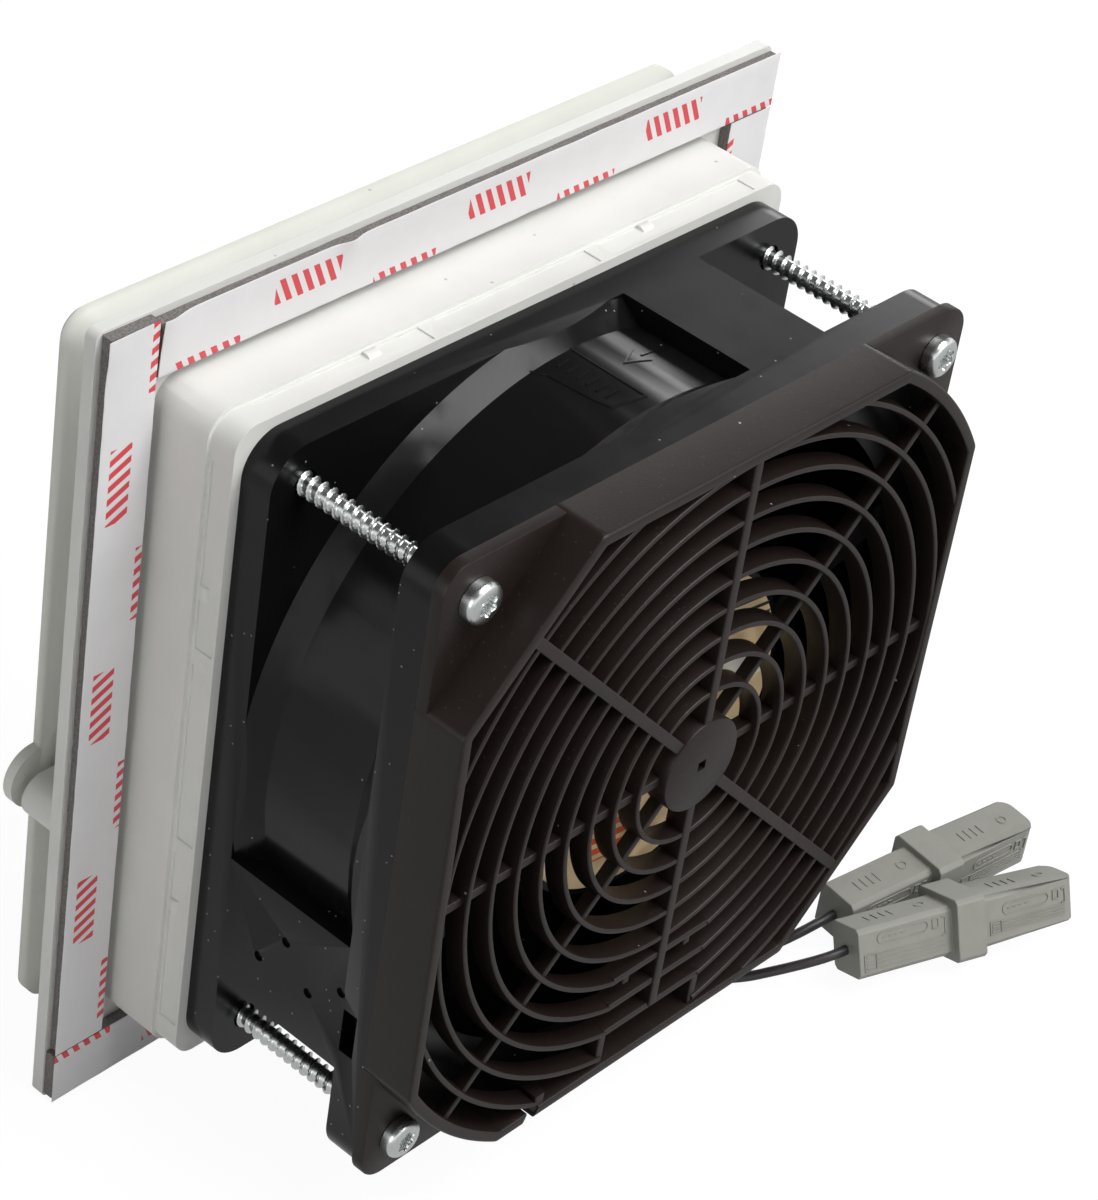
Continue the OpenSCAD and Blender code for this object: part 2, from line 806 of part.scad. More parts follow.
// A ring or bar section, rounded along its top
module guard_section(w, y0, y1) {
    translate([-w / 2, y0]) square([w, y1 - w / 2 - y0]);
    translate([0, y1 - w / 2]) circle(d = w, $fn = 24);
}

// The zone at the bottom where the rings give way to straight bars and a cable window
module guard_bar_zone() {
    slab(fan_back - overrun, guard_back + overrun) translate([-guard_slot_half, -fan_half])
        square([2 * guard_slot_half, fan_half + bar_place(bar_rings[0]) + ring_w]);
}

function ring_r(k) = guard_rim_r - k * ring_pitch;
function bar_place(k) = -sqrt(pow(ring_r(k), 2) - pow(guard_slot_half, 2));

module guard_rings() {
    intersection() {
        difference() {
            union() for (k = [1 : ring_count])
                lathe_y() translate([ring_r(k), 0]) guard_section(ring_w, ring_front, guard_back - ring_drop);
            guard_bar_zone();
        }
        slab(fan_back, guard_back) guard_outline(guard_wall - weld);
    }
}

// Straight bars, each with a lower ledge and a small nub
module guard_bars() {
    for (k = bar_rings) translate([0, 0, bar_place(k)]) {
        translate([-guard_slot_half - weld, ring_front, -bar_w / 2])
            cube([2 * (guard_slot_half + weld), ring_depth - bar_drop, bar_w]);
        translate([-guard_slot_half, ring_front, -bar_w / 2 - bar_ledge_w])
            cube([2 * guard_slot_half, ring_depth - bar_ledge_drop, bar_ledge_w + weld / 2]);
    }
    for (side = [-1, 1]) translate([side * nub_at, 0, bar_place(bar_rings[0]) - ring_w])
        rod_y(nub_r, ring_front, guard_back - nub_drop);
    for (side = [-1, 1]) translate([side * guard_slot_half - spoke_w / 2, ring_front, -fan_half + weld])
        cube([spoke_w, guard_back - guard_edge - ring_front, fan_half + bar_place(bar_rings[2]) - weld]);
}

module guard_spokes() {
    intersection() {
        union() {
            for (turn = [0, 45, 90, 180, 225, 270]) rotate([0, turn, 0])
                translate([0, ring_front, -spoke_w / 2])
                    cube([guard_rim_r, ring_depth - spoke_drop, spoke_w]);
            for (turn = [-45, 135]) rotate([0, turn, 0])
                translate([0, ring_front, -high_spoke_w / 2]) cube([guard_rim_r, ring_depth, high_spoke_w]);
        }
        slab(fan_back, guard_back) guard_outline(guard_wall - weld);
    }
}

module finger_guard() {
    color([0.2, 0.16, 0.15]) difference() {
        union() {
            difference() {
                union() {
                    slab(fan_back, guard_plate_back) rounded_square(fan_side, guard_corner_r);
                    slab(fan_back, guard_back) guard_outline(0);
                }
                slab(fan_back - overrun, guard_back + overrun) guard_outline(guard_wall);
                guard_edge_cut();
            }
            guard_rings();
            guard_bars();
            guard_spokes();
            rod_y(disc_r, ring_front, guard_back);
            translate([hook_x - hook_w / 2, ring_front, -fan_half + weld])
                cube([hook_w, ring_depth - guard_edge, guard_wall + hook_depth - weld]);
        }
        at_corners() rod_y(screw_hole_r, fan_back - overrun, guard_back);
        translate([-disc_hole / 2, ring_front - overrun, -disc_hole / 2])
            cube([disc_hole, ring_depth + 2 * overrun, disc_hole]);
        translate([hook_x + hook_w / 2, guard_back - hook_slot_depth, -fan_half - overrun])
            cube([hook_slot_w, hook_slot_depth + overrun, guard_wall + overrun + weld]);
    }
}

// A long thread-forming screw with a rounded head and a six-sided socket
module guard_screw() {
    translate([0, guard_plate_back, 0]) difference() {
        union() {
            rod_y(screw_r, -screw_length, weld);
            lathe_y() intersection() {
                union() {
                    square([screw_head_r, screw_head_h - head_crown]);
                    translate([0, screw_head_h - head_crown]) crown_outline();
                }
                square([screw_head_r, screw_head_h]);
            }
        }
        translate([0, screw_head_h - socket_depth, 0]) rotate([-90, 0, 0])
            cylinder(r = socket_r, h = socket_depth + overrun, $fn = 6);
    }
}

// The crown of the head as an arc that meets the rim
module crown_outline() {
    steps = 8;
    polygon(concat([[0, -overrun], [screw_head_r, -overrun]], [for (i = [0 : steps])
        [screw_head_r * cos(90 * i / steps), head_crown * sin(90 * i / steps)]]));
}

module guard_screws() {
    color([0.78, 0.8, 0.82]) at_corners() guard_screw();
}

module lead_grommet() {
    color([0.06, 0.06, 0.06])
        translate([lead_block_x - grommet_w / 2, lead_y - grommet_depth / 2, -fan_half - grommet_drop])
            cube([grommet_w, grommet_depth, grommet_drop]);
}

function unit(v) = v / norm(v);

// A round tube along a route: one ring of points square to the path at each point of it
module lead_tube(route, first_way, last_way) {
    last = len(route) - 1;
    sides = lead_sides;
    aside = [0.66, 0.75, 0];
    way = [for (i = [0 : last])
        i == 0 ? first_way : i == last ? last_way : unit(route[i + 1] - route[i - 1])];
    points = [for (i = [0 : last]) let (a = unit(cross(way[i], aside)), b = cross(way[i], a))
        for (s = [0 : sides - 1])
            route[i] + lead_d / 2 * (cos(360 * s / sides) * a + sin(360 * s / sides) * b)];
    skin = [for (i = [0 : last - 1], s = [0 : sides - 1]) let (t = (s + 1) % sides)
        for (f = [[i * sides + s, (i + 1) * sides + t, (i + 1) * sides + s],
            [i * sides + s, i * sides + t, (i + 1) * sides + t]]) f];
    caps = [for (s = [1 : sides - 2]) each [[0, s + 1, s],
        [last * sides, last * sides + s, last * sides + s + 1]]];
    polyhedron(points, concat(skin, caps));
}

function plug_way(yaw) = [-cos(yaw), sin(yaw), 0];

module lead_1() {
    color([0.05, 0.05, 0.05]) lead_tube(LEAD_1_ROUTE, [0, 0, -1], plug_way(plug_1_yaw));
}

module lead_2() {
    color([0.05, 0.05, 0.05]) lead_tube(LEAD_2_ROUTE, [0, 0, -1], plug_way(plug_2_yaw));
}

// Puts a connector, drawn along +X from its lead, at the end of that lead
module at_plug(route, yaw, roll) {
    translate(route[len(route) - 1]) rotate([-roll, 0, 180 - yaw]) children();
}

// An upright section with chamfered edges, drawn in width and height
module plug_section(w, h) {
    polygon([
        [-w / 2 + plug_chamfer, -h / 2], [w / 2 - plug_chamfer, -h / 2],
        [w / 2, -h / 2 + plug_chamfer], [w / 2, h / 2 - plug_chamfer],
        [w / 2 - plug_chamfer, h / 2], [-w / 2 + plug_chamfer, h / 2],
        [-w / 2, h / 2 - plug_chamfer], [-w / 2, -h / 2 + plug_chamfer]
    ]);
}

module plug_body() {
    color([0.62, 0.62, 0.58]) {
        bar_x(0, plug_length) plug_section(plug_w, plug_h);
        bar_x(plug_length, plug_length + plug_collar_length) plug_section(plug_collar_w, plug_collar_h);
    }
}

module plug_cap() {
    start = plug_length + plug_collar_length;
    color([0.62, 0.62, 0.58]) hull() {
        bar_x(start, start + plug_chamfer) plug_section(plug_tail_root_w, plug_tail_root_h);
        for (side = [-1, 1])
            translate([start + plug_tail_length - plug_tail_end_r, side * (plug_tail_w / 2 - plug_tail_end_r), 0])
                cylinder(r = plug_tail_end_r, h = plug_tail_h, center = true, $fn = blend_fn);
    }
}

module plug_1_body() { at_plug(LEAD_1_ROUTE, plug_1_yaw, plug_1_roll) plug_body(); }
module plug_1_cap() { at_plug(LEAD_1_ROUTE, plug_1_yaw, plug_1_roll) plug_cap(); }
module plug_2_body() { at_plug(LEAD_2_ROUTE, plug_2_yaw, plug_2_roll) plug_body(); }
module plug_2_cap() { at_plug(LEAD_2_ROUTE, plug_2_yaw, plug_2_roll) plug_cap(); }

base_frame();
mat_grid();
louvre_cover();
hinge_pins();
filter_mat();
gasket_latch_side();
gasket_top();
gasket_hinge_side();
gasket_bottom();
liner_latch_side();
liner_top();
liner_hinge_side();
liner_bottom();
fan_housing();
finger_guard();
guard_screws();
motor_label();
stator_core();
stator_coils();
coil_bobbin();
bearing_front();
bearing_rear();
impeller();
rotor_cup();
rotor_core();
rotor_shaft();
retaining_ring();
lead_grommet();
lead_1();
lead_2();
plug_1_body();
plug_1_cap();
plug_2_body();
plug_2_cap();
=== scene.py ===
# %% [markdown]
# # A filter fan, dressed round its solid model
# The solid model gives every rigid piece at its real size. This script gives each piece its finish and
# adds what a solid model leaves out: threads, foam and paper, raised marks and the two leads. It starts by
# loading the solids, so that later sizes can be measured from them.

# %% Load the solids
import math

import bmesh
import bpy
import numpy as np
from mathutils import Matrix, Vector


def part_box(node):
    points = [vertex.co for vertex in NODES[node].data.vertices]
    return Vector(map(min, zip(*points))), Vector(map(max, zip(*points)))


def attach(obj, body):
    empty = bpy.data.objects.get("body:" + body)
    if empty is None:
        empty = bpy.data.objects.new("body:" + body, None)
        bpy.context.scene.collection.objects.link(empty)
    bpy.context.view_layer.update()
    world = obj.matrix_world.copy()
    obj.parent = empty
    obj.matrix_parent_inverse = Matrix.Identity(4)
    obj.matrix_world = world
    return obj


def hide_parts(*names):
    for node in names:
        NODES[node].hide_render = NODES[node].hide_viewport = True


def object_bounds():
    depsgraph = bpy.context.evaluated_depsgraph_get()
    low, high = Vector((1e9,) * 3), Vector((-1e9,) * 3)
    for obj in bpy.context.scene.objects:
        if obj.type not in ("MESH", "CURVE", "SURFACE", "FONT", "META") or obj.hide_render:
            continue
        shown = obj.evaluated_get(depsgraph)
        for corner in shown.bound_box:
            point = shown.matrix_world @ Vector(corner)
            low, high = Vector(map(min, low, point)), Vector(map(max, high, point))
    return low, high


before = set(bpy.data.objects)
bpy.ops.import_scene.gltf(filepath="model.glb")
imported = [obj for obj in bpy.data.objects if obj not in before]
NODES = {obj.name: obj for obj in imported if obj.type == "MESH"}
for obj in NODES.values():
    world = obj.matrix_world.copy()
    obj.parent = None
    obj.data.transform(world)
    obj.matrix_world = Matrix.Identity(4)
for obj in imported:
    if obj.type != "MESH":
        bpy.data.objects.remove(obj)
SCENE = bpy.context.scene
cad_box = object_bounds()
MM = 0.001


def node_box(name):
    """The lowest and highest corner of a solid, in millimetres."""
    low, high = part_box(name)
    return np.array(low) / MM, np.array(high) / MM


print(len(NODES), "solids, box in mm", [round(x / MM, 1) for x in (*cad_box[0], *cad_box[1])])

# %% [markdown]
# The camera stands behind the fan, above it and to one side, and is tilted a little about its line of
# sight. A long lens keeps the edges of the square frame nearly parallel, as in the photograph.

# %% Camera
CAMERA_AT_MM = (387.13, 323.72, 369.2)
CAMERA_TURN_DEG = (53.2801, -7.5222, 132.8159)
LENS_MM = 114.54
SENSOR_MM = 36
NEAREST_M = 0.01

camera = bpy.data.objects.new("camera", bpy.data.cameras.new("camera"))
camera.location = Vector(CAMERA_AT_MM) * MM
camera.rotation_euler = [math.radians(a) for a in CAMERA_TURN_DEG]
camera.data.lens = LENS_MM
camera.data.sensor_width = SENSOR_MM
camera.data.clip_start = NEAREST_M
SCENE.collection.objects.link(camera)
SCENE.camera = camera
SCENE.view_settings.view_transform = "Standard"
print("camera with a", LENS_MM, "mm lens")

# %% [markdown]
# Every new piece is a surface over a grid of points. These helpers number the faces of such a grid, close
# its ends, join several grids and put the points into a mesh. The points are whole arrays.


# %% Grids into meshes
MERGE_MM = 0.001


def grid_quads(rows, columns, closed=False):
    """Quads between neighbours of a grid, numbered row by row; closed joins the last column to the first."""
    index = np.arange(rows * columns).reshape(rows, columns)
    if closed:
        index = np.hstack([index, index[:, :1]])
    corners = index[:-1, :-1], index[:-1, 1:], index[1:, 1:], index[1:, :-1]
    return np.stack(corners, axis=-1).reshape(-1, 4)


def tidy_mesh(mesh):
    """Joins points that coincide and turns every face outwards."""
    work = bmesh.new()
    work.from_mesh(mesh)
    bmesh.ops.remove_doubles(work, verts=work.verts, dist=MERGE_MM * MM)
    bmesh.ops.dissolve_degenerate(work, edges=work.edges, dist=MERGE_MM * MM)
    bmesh.ops.recalc_face_normals(work, faces=work.faces)
    work.to_mesh(mesh)
    work.free()


def shown(name, mesh, finish, slot, body, sharp_deg):
    """The object of a mesh, smooth except across edges sharper than sharp_deg, riding on a body."""
    mesh.polygons.foreach_set("use_smooth", np.ones(len(mesh.polygons), bool))
    mesh.set_sharp_from_angle(angle=math.radians(sharp_deg))
    mesh.materials.append(finish)
    made = bpy.data.objects.new(name, mesh)
    SCENE.collection.objects.link(made)
    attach(made, body)
    print(name, len(mesh.vertices), "points")
    return made


def piece(name, points_mm, faces, finish, slot, sharp_deg=35):
    """A new object on the frame, from points in millimetres and faces that number them."""
    mesh = bpy.data.meshes.new(name)
    mesh.from_pydata((np.asarray(points_mm).reshape(-1, 3) * MM).tolist(), [], faces)
    tidy_mesh(mesh)
    return shown(name, mesh, finish, slot, "frame", sharp_deg)


def sweep(rows, capped=True):
    """Faces of closed sections along a path: rows is (sections, points, 3); capped closes both ends."""
    count, around = rows.shape[:2]
    quads = grid_quads(count, around, closed=True).tolist()
    if not capped:
        return quads
    first = list(range(around))[::-1]
    last = list(range((count - 1) * around, count * around))
    return quads + [first, last]


def joined(parts):
    """Several (points, faces) as one; each part's faces count on from the points before it."""
    points = [own.reshape(-1, 3) for own, _ in parts]
    starts = np.cumsum([0] + [len(own) for own in points]).tolist()
    faces = [[i + start for i in face] for (_, own), start in zip(parts, starts) for face in own]
    return np.vstack(points), faces


# %% [markdown]
# The two leads come first, because their route decides how much room the model takes. Each leaves the strain
# relief downwards, turns along the table and ends in a connector. The route repeats the points of the solid
# model, and a smooth curve through them carries a round section.

# %% Leads
LEAD_D = 1.8
LEAD_1_ROUTE = [
    (-14, 36, -62.5), (-14, 36.2, -65), (-14.6, 36.8, -67.6), (-16.2, 38, -70), (-18.8, 40, -72),
    (-22, 42.6, -73.1), (-26, 46, -73.3), (-30, 49.5, -73.3), (-34, 53, -73), (-37.6, 56.6, -72),
    (-40.6, 59.8, -70.2), (-43.4, 62.4, -68.7), (-46, 64.4, -67.6), (-48.6, 65.9, -66.8),
    (-51.4, 66.9, -66.3),
]
LEAD_2_ROUTE = [
    (-20, 36, -62.5), (-20, 36.2, -65), (-20.8, 36.8, -67.8), (-22.8, 38, -70.4), (-26, 39.9, -72.3),
    (-30, 42.4, -73.2), (-34.5, 45.3, -73.3), (-39, 48.4, -73.3), (-43.5, 51.6, -73), (-47.6, 54.4, -71.8),
    (-51.4, 56.5, -69.9), (-55, 57.7, -68.7), (-59, 58.3, -68.35),
]
PATH_STEPS = 8
LEAD_SIDES = 20
ASIDE = np.array((0.66, 0.75, 0))


def smooth_path(points):
    """Catmull-Rom curve: between two points a cubic whose ends run along the chord of their neighbours."""
    p = np.array(points, float)
    p = np.vstack([2 * p[:1] - p[1:2], p, 2 * p[-1:] - p[-2:-1]])
    a, b, c, d = (p[i:len(p) - 3 + i, None] for i in range(4))
    t = np.linspace(0, 1, PATH_STEPS, endpoint=False)[None, :, None]
    curve = 2 * b + (c - a) * t + (2 * a - 5 * b + 4 * c - d) * t**2 + (3 * b - a - 3 * c + d) * t**3
    return np.vstack([curve.reshape(-1, 3) / 2, p[-2:-1]])


def along(path):
    """Unit direction at each point of a path."""
    way = np.gradient(path, axis=0)
    return way / np.linalg.norm(way, axis=1, keepdims=True)


def tube(path, radius):
    """Circles square to the path: centre + radius (cos(angle) a + sin(angle) b), a and b square to it."""
    way = along(path)
    a = np.cross(way, ASIDE)
    a /= np.linalg.norm(a, axis=1, keepdims=True)
    b = np.cross(way, a)
    angle = np.linspace(0, 2 * math.pi, LEAD_SIDES, endpoint=False)[None, :, None]
    return path[:, None] + radius * (np.cos(angle) * a[:, None] + np.sin(angle) * b[:, None])


def lead(name, route, plug_pieces):
    path = smooth_path(route)
    rows = tube(path, LEAD_D / 2)
    made = piece(name, rows, sweep(rows), sheath_finish, "lead_sheath")
    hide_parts(name.replace("_cable", ""))


# %% [markdown]
# A solid from the model is a heap of loose triangles. For a piece with soft edges a copy is taken, its
# points are joined, its flat faces are cleaned, and a Bevel modifier rounds the edges that a mould rounds.


# %% Copies of the solids with rounded edges
EDGE_DEG, FLAT_DEG = 32, 0.4
BEVEL_STEPS = 2
JOIN_MM = 0.002


def dressed(node, name, finish, slot, body="frame", round_mm=0):
    """A joined copy of a solid that stands for it; round_mm is the radius put on its sharp edges."""
    mesh = NODES[node].data.copy()
    mesh.name = name
    work = bmesh.new()
    work.from_mesh(mesh)
    bmesh.ops.remove_doubles(work, verts=work.verts, dist=JOIN_MM * MM)
    if round_mm:
        flat = math.radians(FLAT_DEG)
        bmesh.ops.dissolve_limit(work, angle_limit=flat, verts=work.verts, edges=work.edges)
    work.to_mesh(mesh)
    work.free()
    mesh.materials.clear()
    made = shown(name, mesh, finish, slot, body, EDGE_DEG)
    if round_mm:
        bevel = made.modifiers.new("round", "BEVEL")
        bevel.width = round_mm * MM
        bevel.segments = BEVEL_STEPS
        bevel.limit_method = "ANGLE"
        bevel.angle_limit = math.radians(EDGE_DEG)
        bevel.use_clamp_overlap = True
        bevel.miter_outer = "MITER_ARC"
        bevel.harden_normals = True
    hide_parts(node)
    return made


# %% [markdown]
# Finishes are made of shader nodes. Two small classes make them read like sums: a Field is one socket of
# a node, and arithmetic on Fields adds Math nodes; a Finish is one material, and its node method adds any
# other node.


# %% Sums on sockets
class Field:
    """One output of a node; sums on it add Math nodes."""

    def __init__(self, finish, socket):
        self.finish, self.socket = finish, socket

    def out(self, name):
        return Field(self.finish, self.socket.node.outputs[name])

    def __add__(self, other):
        return self.finish.maths("ADD", self, other)

    __radd__ = __add__

    def __mul__(self, other):
        return self.finish.maths("MULTIPLY", self, other)

    __rmul__ = __mul__

    def __sub__(self, other):
        return self.finish.maths("SUBTRACT", self, other)

    def __rsub__(self, other):
        return self.finish.maths("SUBTRACT", other, self)

    def __gt__(self, other):
        return self.finish.maths("GREATER_THAN", self, other)

    def __lt__(self, other):
        return self.finish.maths("LESS_THAN", self, other)


class Finish:
    """One material, with the nodes that vary it."""

    def __init__(self, name, owner=None):
        self.material = owner or bpy.data.materials.new(name)
        self.material.use_nodes = True
        self.tree = self.material.node_tree
        self.shader = self.tree.nodes.get("Principled BSDF")

    def node(self, kind, settings=None, inputs=None, out=None):
        """Adds a node: first its settings, then the values or links of its sockets; gives one output."""
        made = self.tree.nodes.new(kind)
        for key, value in (settings or {}).items():
            if key == "stops":
                self.stops(made.color_ramp, value)
            else:
                setattr(made, key, value)
        for key, value in (inputs or {}).items():
            named = (s for s in made.inputs if s.name == key and s.enabled)
            self.feed(made.inputs[key] if isinstance(key, int) else next(named), value)
        shown = [s for s in made.outputs if s.enabled]
        return Field(self, made.outputs[out] if out else shown[0])

    def stops(self, ramp, stops):
        for place, value in stops[2:]:
            ramp.elements.new(place)
        for element, (place, value) in zip(ramp.elements, stops):
            element.position = place
            element.color = (value, value, value, 1)

    def feed(self, socket, value):
        if isinstance(value, Field):
            self.tree.links.new(value.socket, socket)
        elif isinstance(value, (tuple, list)) and len(value) == 3 and socket.type == "RGBA":
            socket.default_value = (*value, 1)
        else:
            socket.default_value = value

    def set(self, **values):
        """Sets sockets of the surface shader: base_color=..., roughness=..., and so on."""
        for key, value in values.items():
            self.feed(self.shader.inputs[key.replace("_", " ").title().replace("Ior", "IOR")], value)
        return self

    def maths(self, operation, *values):
        return self.node("ShaderNodeMath", {"operation": operation}, dict(enumerate(values)))

    def place(self):
        return self.node("ShaderNodeTexCoord", out="Object")

    def axes(self, vector):
        """The X, Y and Z of a vector as three Fields."""
        split = self.node("ShaderNodeSeparateXYZ", {}, {"Vector": vector})
        return split, split.out("Y"), split.out("Z")

    def stretched(self, vector, scale):
        """The vector times a scale for each axis."""
        return self.node("ShaderNodeMapping", {}, {"Vector": vector, "Scale": scale})

    def noise(self, vector, size_mm, detail=2, rough=0.5):
        """Smooth noise from 0 to 1 with lumps of about size_mm."""
        inputs = {"Vector": vector, "Scale": 1 / (size_mm * MM), "Detail": detail, "Roughness": rough}
        return self.node("ShaderNodeTexNoise", {}, inputs)

    def ramp(self, value, *stops):
        """A smooth curve of grey through stops of (place, value)."""
        return self.node("ShaderNodeValToRGB", {"stops": stops}, {"Fac": value})

    def blend(self, share, first, second):
        """Colour first where share is 0 and colour second where it is 1."""
        inputs = {"Factor": share, "A": first, "B": second}
        return self.node("ShaderNodeMix", {"data_type": "RGBA"}, inputs)

    def bump(self, height, depth_mm, strength=1.0, under=None):
        """A normal for a relief of that depth; under is another bump that it lies on."""
        inputs = {"Height": height, "Distance": depth_mm * MM, "Strength": strength}
        if under is not None:
            inputs["Normal"] = under
        return self.node("ShaderNodeBump", {}, inputs)


def specks(finish, size_mm, share, dot_share):
    """Mask of sparse round dots: 1 inside dot_share of a cell's size, in that share of the cells."""
    cells = finish.node("ShaderNodeTexVoronoi", {}, {"Vector": finish.place(), "Scale": 1 / (size_mm * MM)})
    lucky = finish.node("ShaderNodeSeparateColor", {}, {"Color": cells.out("Color")})
    return (cells < dot_share) * (lucky < share)


# %% [markdown]
# The frame and the cover are light grey moulded plastic. A mould leaves a very fine grain and faint
# cloudy changes of tone, so both are noise: coarse for tone and gloss, fine for the grain.


# %% Light grey plastic
GREY_DUST = (0.25, 0.24, 0.22)


def grey_plastic(name, light, dark):
    finish = Finish(name)
    here = finish.place()
    cloud = finish.noise(here, 14, detail=3)
    grain = finish.noise(here, 0.35, detail=1)
    dust = specks(finish, 2.6, 0.06, 0.12)
    tone = finish.blend(finish.ramp(cloud, (0.3, 0.0), (0.7, 1.0)), light, dark)
    finish.set(base_color=finish.blend(dust * 0.5, tone, GREY_DUST),
               roughness=0.4 + 0.12 * cloud + 0.06 * grain, normal=finish.bump(grain, 0.012))
    return finish.material


frame_finish = grey_plastic("frame_grey_plastic", (0.72, 0.72, 0.69), (0.68, 0.68, 0.655))
cover_finish = grey_plastic("cover_grey_plastic", (0.70, 0.71, 0.655), (0.66, 0.67, 0.615))

# %% [markdown]
# The fan housing looks like painted die casting: nearly black, glossy, with a slight orange peel and fine
# dust. The finger guard is brown-black satin plastic with a fine sparkle of moulded specks. The specular
# level of both is low, so that the studio's white doesn't turn the black grey.


# %% Black paint and brown-black plastic
PAINT, PAINT_DUST = (0.0045, 0.0044, 0.0046), (0.34, 0.33, 0.33)
BROWN_DEEP, BROWN_PALE = (0.0105, 0.0066, 0.0055), (0.0155, 0.01, 0.0084)
SPARK, GUARD_DUST = (0.085, 0.06, 0.05), (0.5, 0.48, 0.45)


def black_paint():
    finish = Finish("black_gloss_paint")
    here = finish.place()
    peel = finish.noise(here, 1.6, detail=1)
    smear = finish.noise(here, 9, detail=3, rough=0.6)
    dust = specks(finish, 1.7, 0.07, 0.1)
    finish.set(base_color=finish.blend(dust * 0.6, PAINT, PAINT_DUST),
               roughness=0.17 + 0.13 * smear + 0.4 * dust, normal=finish.bump(peel, 0.008, 0.5),
               specular_ior_level=0.27)
    return finish.material


def guard_plastic():
    finish = Finish("brown_black_satin_plastic")
    here = finish.place()
    grain = finish.noise(here, 0.4, detail=2)
    cloud = finish.noise(here, 11, detail=2)
    spark = specks(finish, 0.75, 0.16, 0.2)
    dust = specks(finish, 3.1, 0.07, 0.07)
    body = finish.blend(cloud, BROWN_DEEP, BROWN_PALE)
    body = finish.blend(spark * 0.35, body, SPARK)
    finish.set(base_color=finish.blend(dust * 0.7, body, GUARD_DUST),
               roughness=0.28 + 0.14 * grain + 0.1 * cloud, normal=finish.bump(grain, 0.02, 0.7),
               specular_ior_level=0.3)
    return finish.material


housing_finish = black_paint()
guard_finish = guard_plastic()

# %% [markdown]
# Metals: the screws are bright zinc with faint drawing lines, the rotor and the laminations are dull
# steel, and the coils enamelled copper. Noise stretched along one axis gives lines, sheets and turns.
# The function for zinc and steel serves plain plastics too.


# %% Metals
def cloudy(name, tones, cloud, rough, grain, depth_mm, strength, metallic=0.0, stretch=(1, 1, 1)):
    """Two tones and a gloss that follow a cloud, over a relief of grain; both noises are (mm, detail)."""
    finish = Finish(name)
    here = finish.place()
    share = finish.noise(here, *cloud)
    relief = finish.noise(finish.stretched(here, stretch), *grain)
    finish.set(base_color=finish.blend(share, *tones), roughness=rough[0] + rough[1] * share,
               normal=finish.bump(relief, depth_mm, strength), metallic=metallic)
    return finish.material


def enamelled_copper():
    finish = Finish("enamelled_copper")
    here = finish.place()
    turns = finish.noise(finish.stretched(here, (0.05, 1, 0.05)), 0.3, detail=0)
    finish.set(base_color=finish.blend(turns, (0.55, 0.22, 0.08), (0.3, 0.1, 0.035)), metallic=1.0,
               roughness=0.3 + 0.15 * turns, normal=finish.bump(turns, 0.12))
    return finish.material


DRAWN_LINES, SHEET_EDGES = (1, 0.15, 1), (0.02, 1, 0.02)
ZINC = (0.78, 0.80, 0.79), (0.60, 0.63, 0.62)
STEEL = (0.34, 0.345, 0.36), (0.22, 0.225, 0.235)
zinc_finish = cloudy("bright_zinc", ZINC, (0.9, 3), (0.2, 0.16), (0.12, 2), 0.006, 0.6, 1.0, DRAWN_LINES)
steel_finish = cloudy("dull_steel", STEEL, (4, 3), (0.36, 0.2), (0.5, 1), 0.05, 0.6, 1.0, SHEET_EDGES)
copper_finish = enamelled_copper()

# %% [markdown]
# Soft and plain stuffs: foam tape with a grain of burst cells, its paper liner, the fibre mat, the leads'
# sheath, the connectors' grey plastic and the bobbins. The liner carries plain red ticks in two rows; a
# row is its middle, its half width and its shift along the strip.


# %% Foam, paper, fibre and sheath
def tape_foam():
    finish = Finish("dark_foam")
    here = finish.place()
    cells = finish.noise(here, 0.3, detail=3, rough=0.7)
    drift = finish.noise(here, 3, detail=2)
    tone = finish.blend(finish.ramp(cells, (0.35, 0.0), (0.68, 1.0)), (0.09, 0.083, 0.08), (0.3, 0.28, 0.27))
    finish.set(base_color=finish.blend(drift * 0.5, tone, (0.17, 0.16, 0.15)), roughness=0.92,
               normal=finish.bump(cells, 0.14))
    return finish.material


TICK_ROWS_MM = ((5.9, 2.1, 0.0), (0.4, 1.0, 20.0))
TICK_PITCH = 2.3
TICK_GROUP = 41.0
TICK_RUN = 13.5
TICK_SLANT, TICK_SHARE = 0.45, 0.52


def liner_paper():
    """White paper; ticks are stripes of (length + slant x width), kept to groups and to two rows."""
    finish = Finish("liner_paper")
    here = finish.place()
    strip = finish.node("ShaderNodeUVMap", {"uv_map": "strip"})
    run, across, _ = finish.axes(strip)
    crease = finish.noise(here, 6, detail=3)
    fibre = finish.noise(here, 0.5, detail=2)
    ticks = None
    for middle, half, shift in TICK_ROWS_MM:
        row = finish.maths("ABSOLUTE", across - middle) < half
        group = finish.maths("FLOORED_MODULO", run + shift, TICK_GROUP) < TICK_RUN
        slanted = run + across * TICK_SLANT
        stripe = finish.maths("FLOORED_MODULO", slanted, TICK_PITCH) < TICK_PITCH * TICK_SHARE
        mask = row * group * stripe
        ticks = mask if ticks is None else ticks + mask
    paper = finish.blend(crease, (0.76, 0.75, 0.755), (0.70, 0.69, 0.695))
    finish.set(base_color=finish.blend(ticks, paper, (0.66, 0.055, 0.07)), roughness=0.36 + 0.15 * crease,
               normal=finish.bump(fibre, 0.01, 0.6, under=finish.bump(crease, 0.16, 0.6)))
    return finish.material


